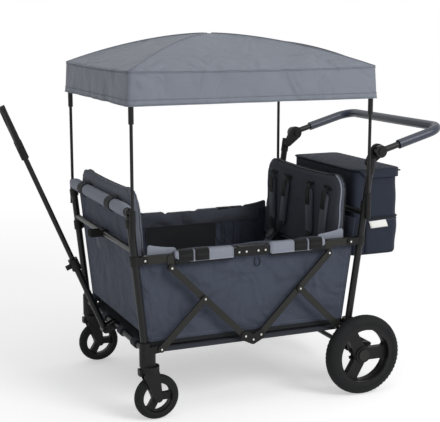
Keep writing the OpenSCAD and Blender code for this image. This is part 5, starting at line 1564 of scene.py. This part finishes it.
class WAGON_OT_small_parts(bpy.types.Operator):
    """Bright rivets, tyre tread and the grip's sewn seam"""

    bl_idname = "wagon.small_parts"
    bl_label = "Rivets, tread and grip seam"

    # Distance of each kind of rivet from the wagon's middle plane
    LUG_Y, FOOT_Y, BRACE_Y, CROSSING_Y, HUB_Y = 314.6, 328.4, 321.9, 328.1, 326.1
    # Ends of a long brace, and the share of it at which the short brace crosses
    UPPER, LOWER, CROSSING = (264, 465), (26, 229), 0.437
    # Wheel, axle, radius, width and scale of its tread
    WHEELS = (("rear_wheel", REAR_AXLE, 130, 44, 1.0), ("castor_wheel", CASTOR_AXLE, 70, 34, 0.75))
    BLOCK_LONG, BLOCK_WIDE, BLOCK_TALL, BLOCK_LEAN = 0.0052, 0.27, 0.0032, 0.45
    SHOULDER, SUNK = 0.24, 4.0
    GRIP_HALF, SEAM_IN, SEAM_DOWN = 243, 4, 14.6

    def rivet_places(self):
        """Rivets of the right side for each body; the left side mirrors them."""
        (ux, uz), (lx, lz) = self.UPPER, self.LOWER
        cx, cz = ux + self.CROSSING * (lx - ux), uz + self.CROSSING * (lz - uz)
        return {
            "rear_frame": [(FOOT_X, self.LUG_Y, RAIL_Z), (301, self.FOOT_Y, 222)],
            "front_frame": [(-FOOT_X, self.LUG_Y, RAIL_Z), (-301, self.FOOT_Y, 222)],
            "centre_brackets": [(x, self.LUG_Y, RAIL_Z) for x in (-20, -44, 20, 44)],
            "rear_rail_pair": [(ux, self.BRACE_Y, uz)],
            "front_rail_pair": [(-ux, self.BRACE_Y, uz)],
            "rear_short_brace_pair": [(cx, self.CROSSING_Y, cz)],
            "front_short_brace_pair": [(-cx, self.CROSSING_Y, cz)],
            "hubs": [(lx, self.HUB_Y, lz), (-lx, self.HUB_Y, lz), (0, self.HUB_Y, 216)],
        }

    def tread(self, body, place, radius, width, scale):
        """Leaning blocks on both shoulders of one tyre."""
        made = []
        for shoulder in (-1, 1):
            dy = shoulder * width * self.SHOULDER
            reach = radius - width / 2 + math.sqrt((width / 2) ** 2 - dy ** 2) - self.SUNK
            o = grow("tread", "tyre tread", paths_mesh("tread", [[(0, 0, 0)]]),
                     Count=int(sizes().tread_blocks * scale),
                     Block=(self.BLOCK_LONG * scale, width * self.BLOCK_WIDE * MM, self.BLOCK_TALL),
                     Radius=reach * MM, Lean=self.BLOCK_LEAN * shoulder, Material=finish_of("tyre"))
            shift = Matrix.Translation(Vector(place) * MM + Vector((0, dy * MM, 0)))
            o.data.transform(shift @ Matrix.Rotation(math.pi / 2, 4, "X"))
            made.append(o)
        seat_piece(join(body + "_tread", made), body)

    def execute(self, context):
        for body, points in self.rivet_places().items():
            rivets("rivets_" + body, [(x, s * y, z) for x, y, z in points for s in (-1, 1)], body)
        for side, sy in (("left", -1), ("right", 1)):
            for wheel, (x, y, z), radius, width, scale in self.WHEELS:
                self.tread("%s_%s" % (wheel, side), (x, sy * y, z), radius, width, scale)
        rise = math.radians(ARM_RISE)
        along, up = ARM_LEN - self.SEAM_IN, -self.SEAM_DOWN
        x = KNUCKLE[0] + along * math.cos(rise) - up * math.sin(rise)
        z = KNUCKLE[1] + along * math.sin(rise) + up * math.cos(rise)
        seam = [(x, y, z) for y in np.linspace(-self.GRIP_HALF, self.GRIP_HALF, 90)]
        stitches("grip_stitches", [seam], "push_handle")
        return {"FINISHED"}


STEPS = ("stage", "rigid", "roof", "tub", "rail_pads", "backrests", "harness", "seats", "bag", "small_parts")


class WAGON_PT_dressing(bpy.types.Panel):
    """Lists the steps that dress the wagon"""

    bl_label = "Stroller wagon"
    bl_idname = "WAGON_PT_dressing"
    bl_space_type = "VIEW_3D"
    bl_region_type = "UI"
    bl_category = "Wagon"

    def draw(self, context):
        for step in STEPS:
            self.layout.operator("wagon." + step)
        for group in (context.scene.wagon_sizes, context.scene.wagon_colours):
            box = self.layout.box()
            for name in group.bl_rna.properties.keys():
                if name not in ("rna_type", "name"):
                    box.prop(group, name)


CLASSES = (
    WagonSizes, WagonColours, WAGON_OT_stage, WAGON_OT_rigid, WAGON_OT_roof, WAGON_OT_tub, WAGON_OT_rail_pads,
    WAGON_OT_backrests, WAGON_OT_harness, WAGON_OT_seats, WAGON_OT_bag, WAGON_OT_small_parts,
    WAGON_PT_dressing,
)


def register():
    for c in CLASSES:
        bpy.utils.register_class(c)
    bpy.types.Scene.wagon_sizes = PointerProperty(type=WagonSizes)
    bpy.types.Scene.wagon_colours = PointerProperty(type=WagonColours)


def unregister():
    del bpy.types.Scene.wagon_colours
    del bpy.types.Scene.wagon_sizes
    for c in reversed(CLASSES):
        bpy.utils.unregister_class(c)


def main():
    register()
    for step in STEPS:
        getattr(bpy.ops.wagon, step)()
    box = lambda b: [[float(x) for x in corner] for corner in b]
    {"cad": box(CAD_BOX), "visual": box(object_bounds())}


if __name__ == "__main__":
    main()
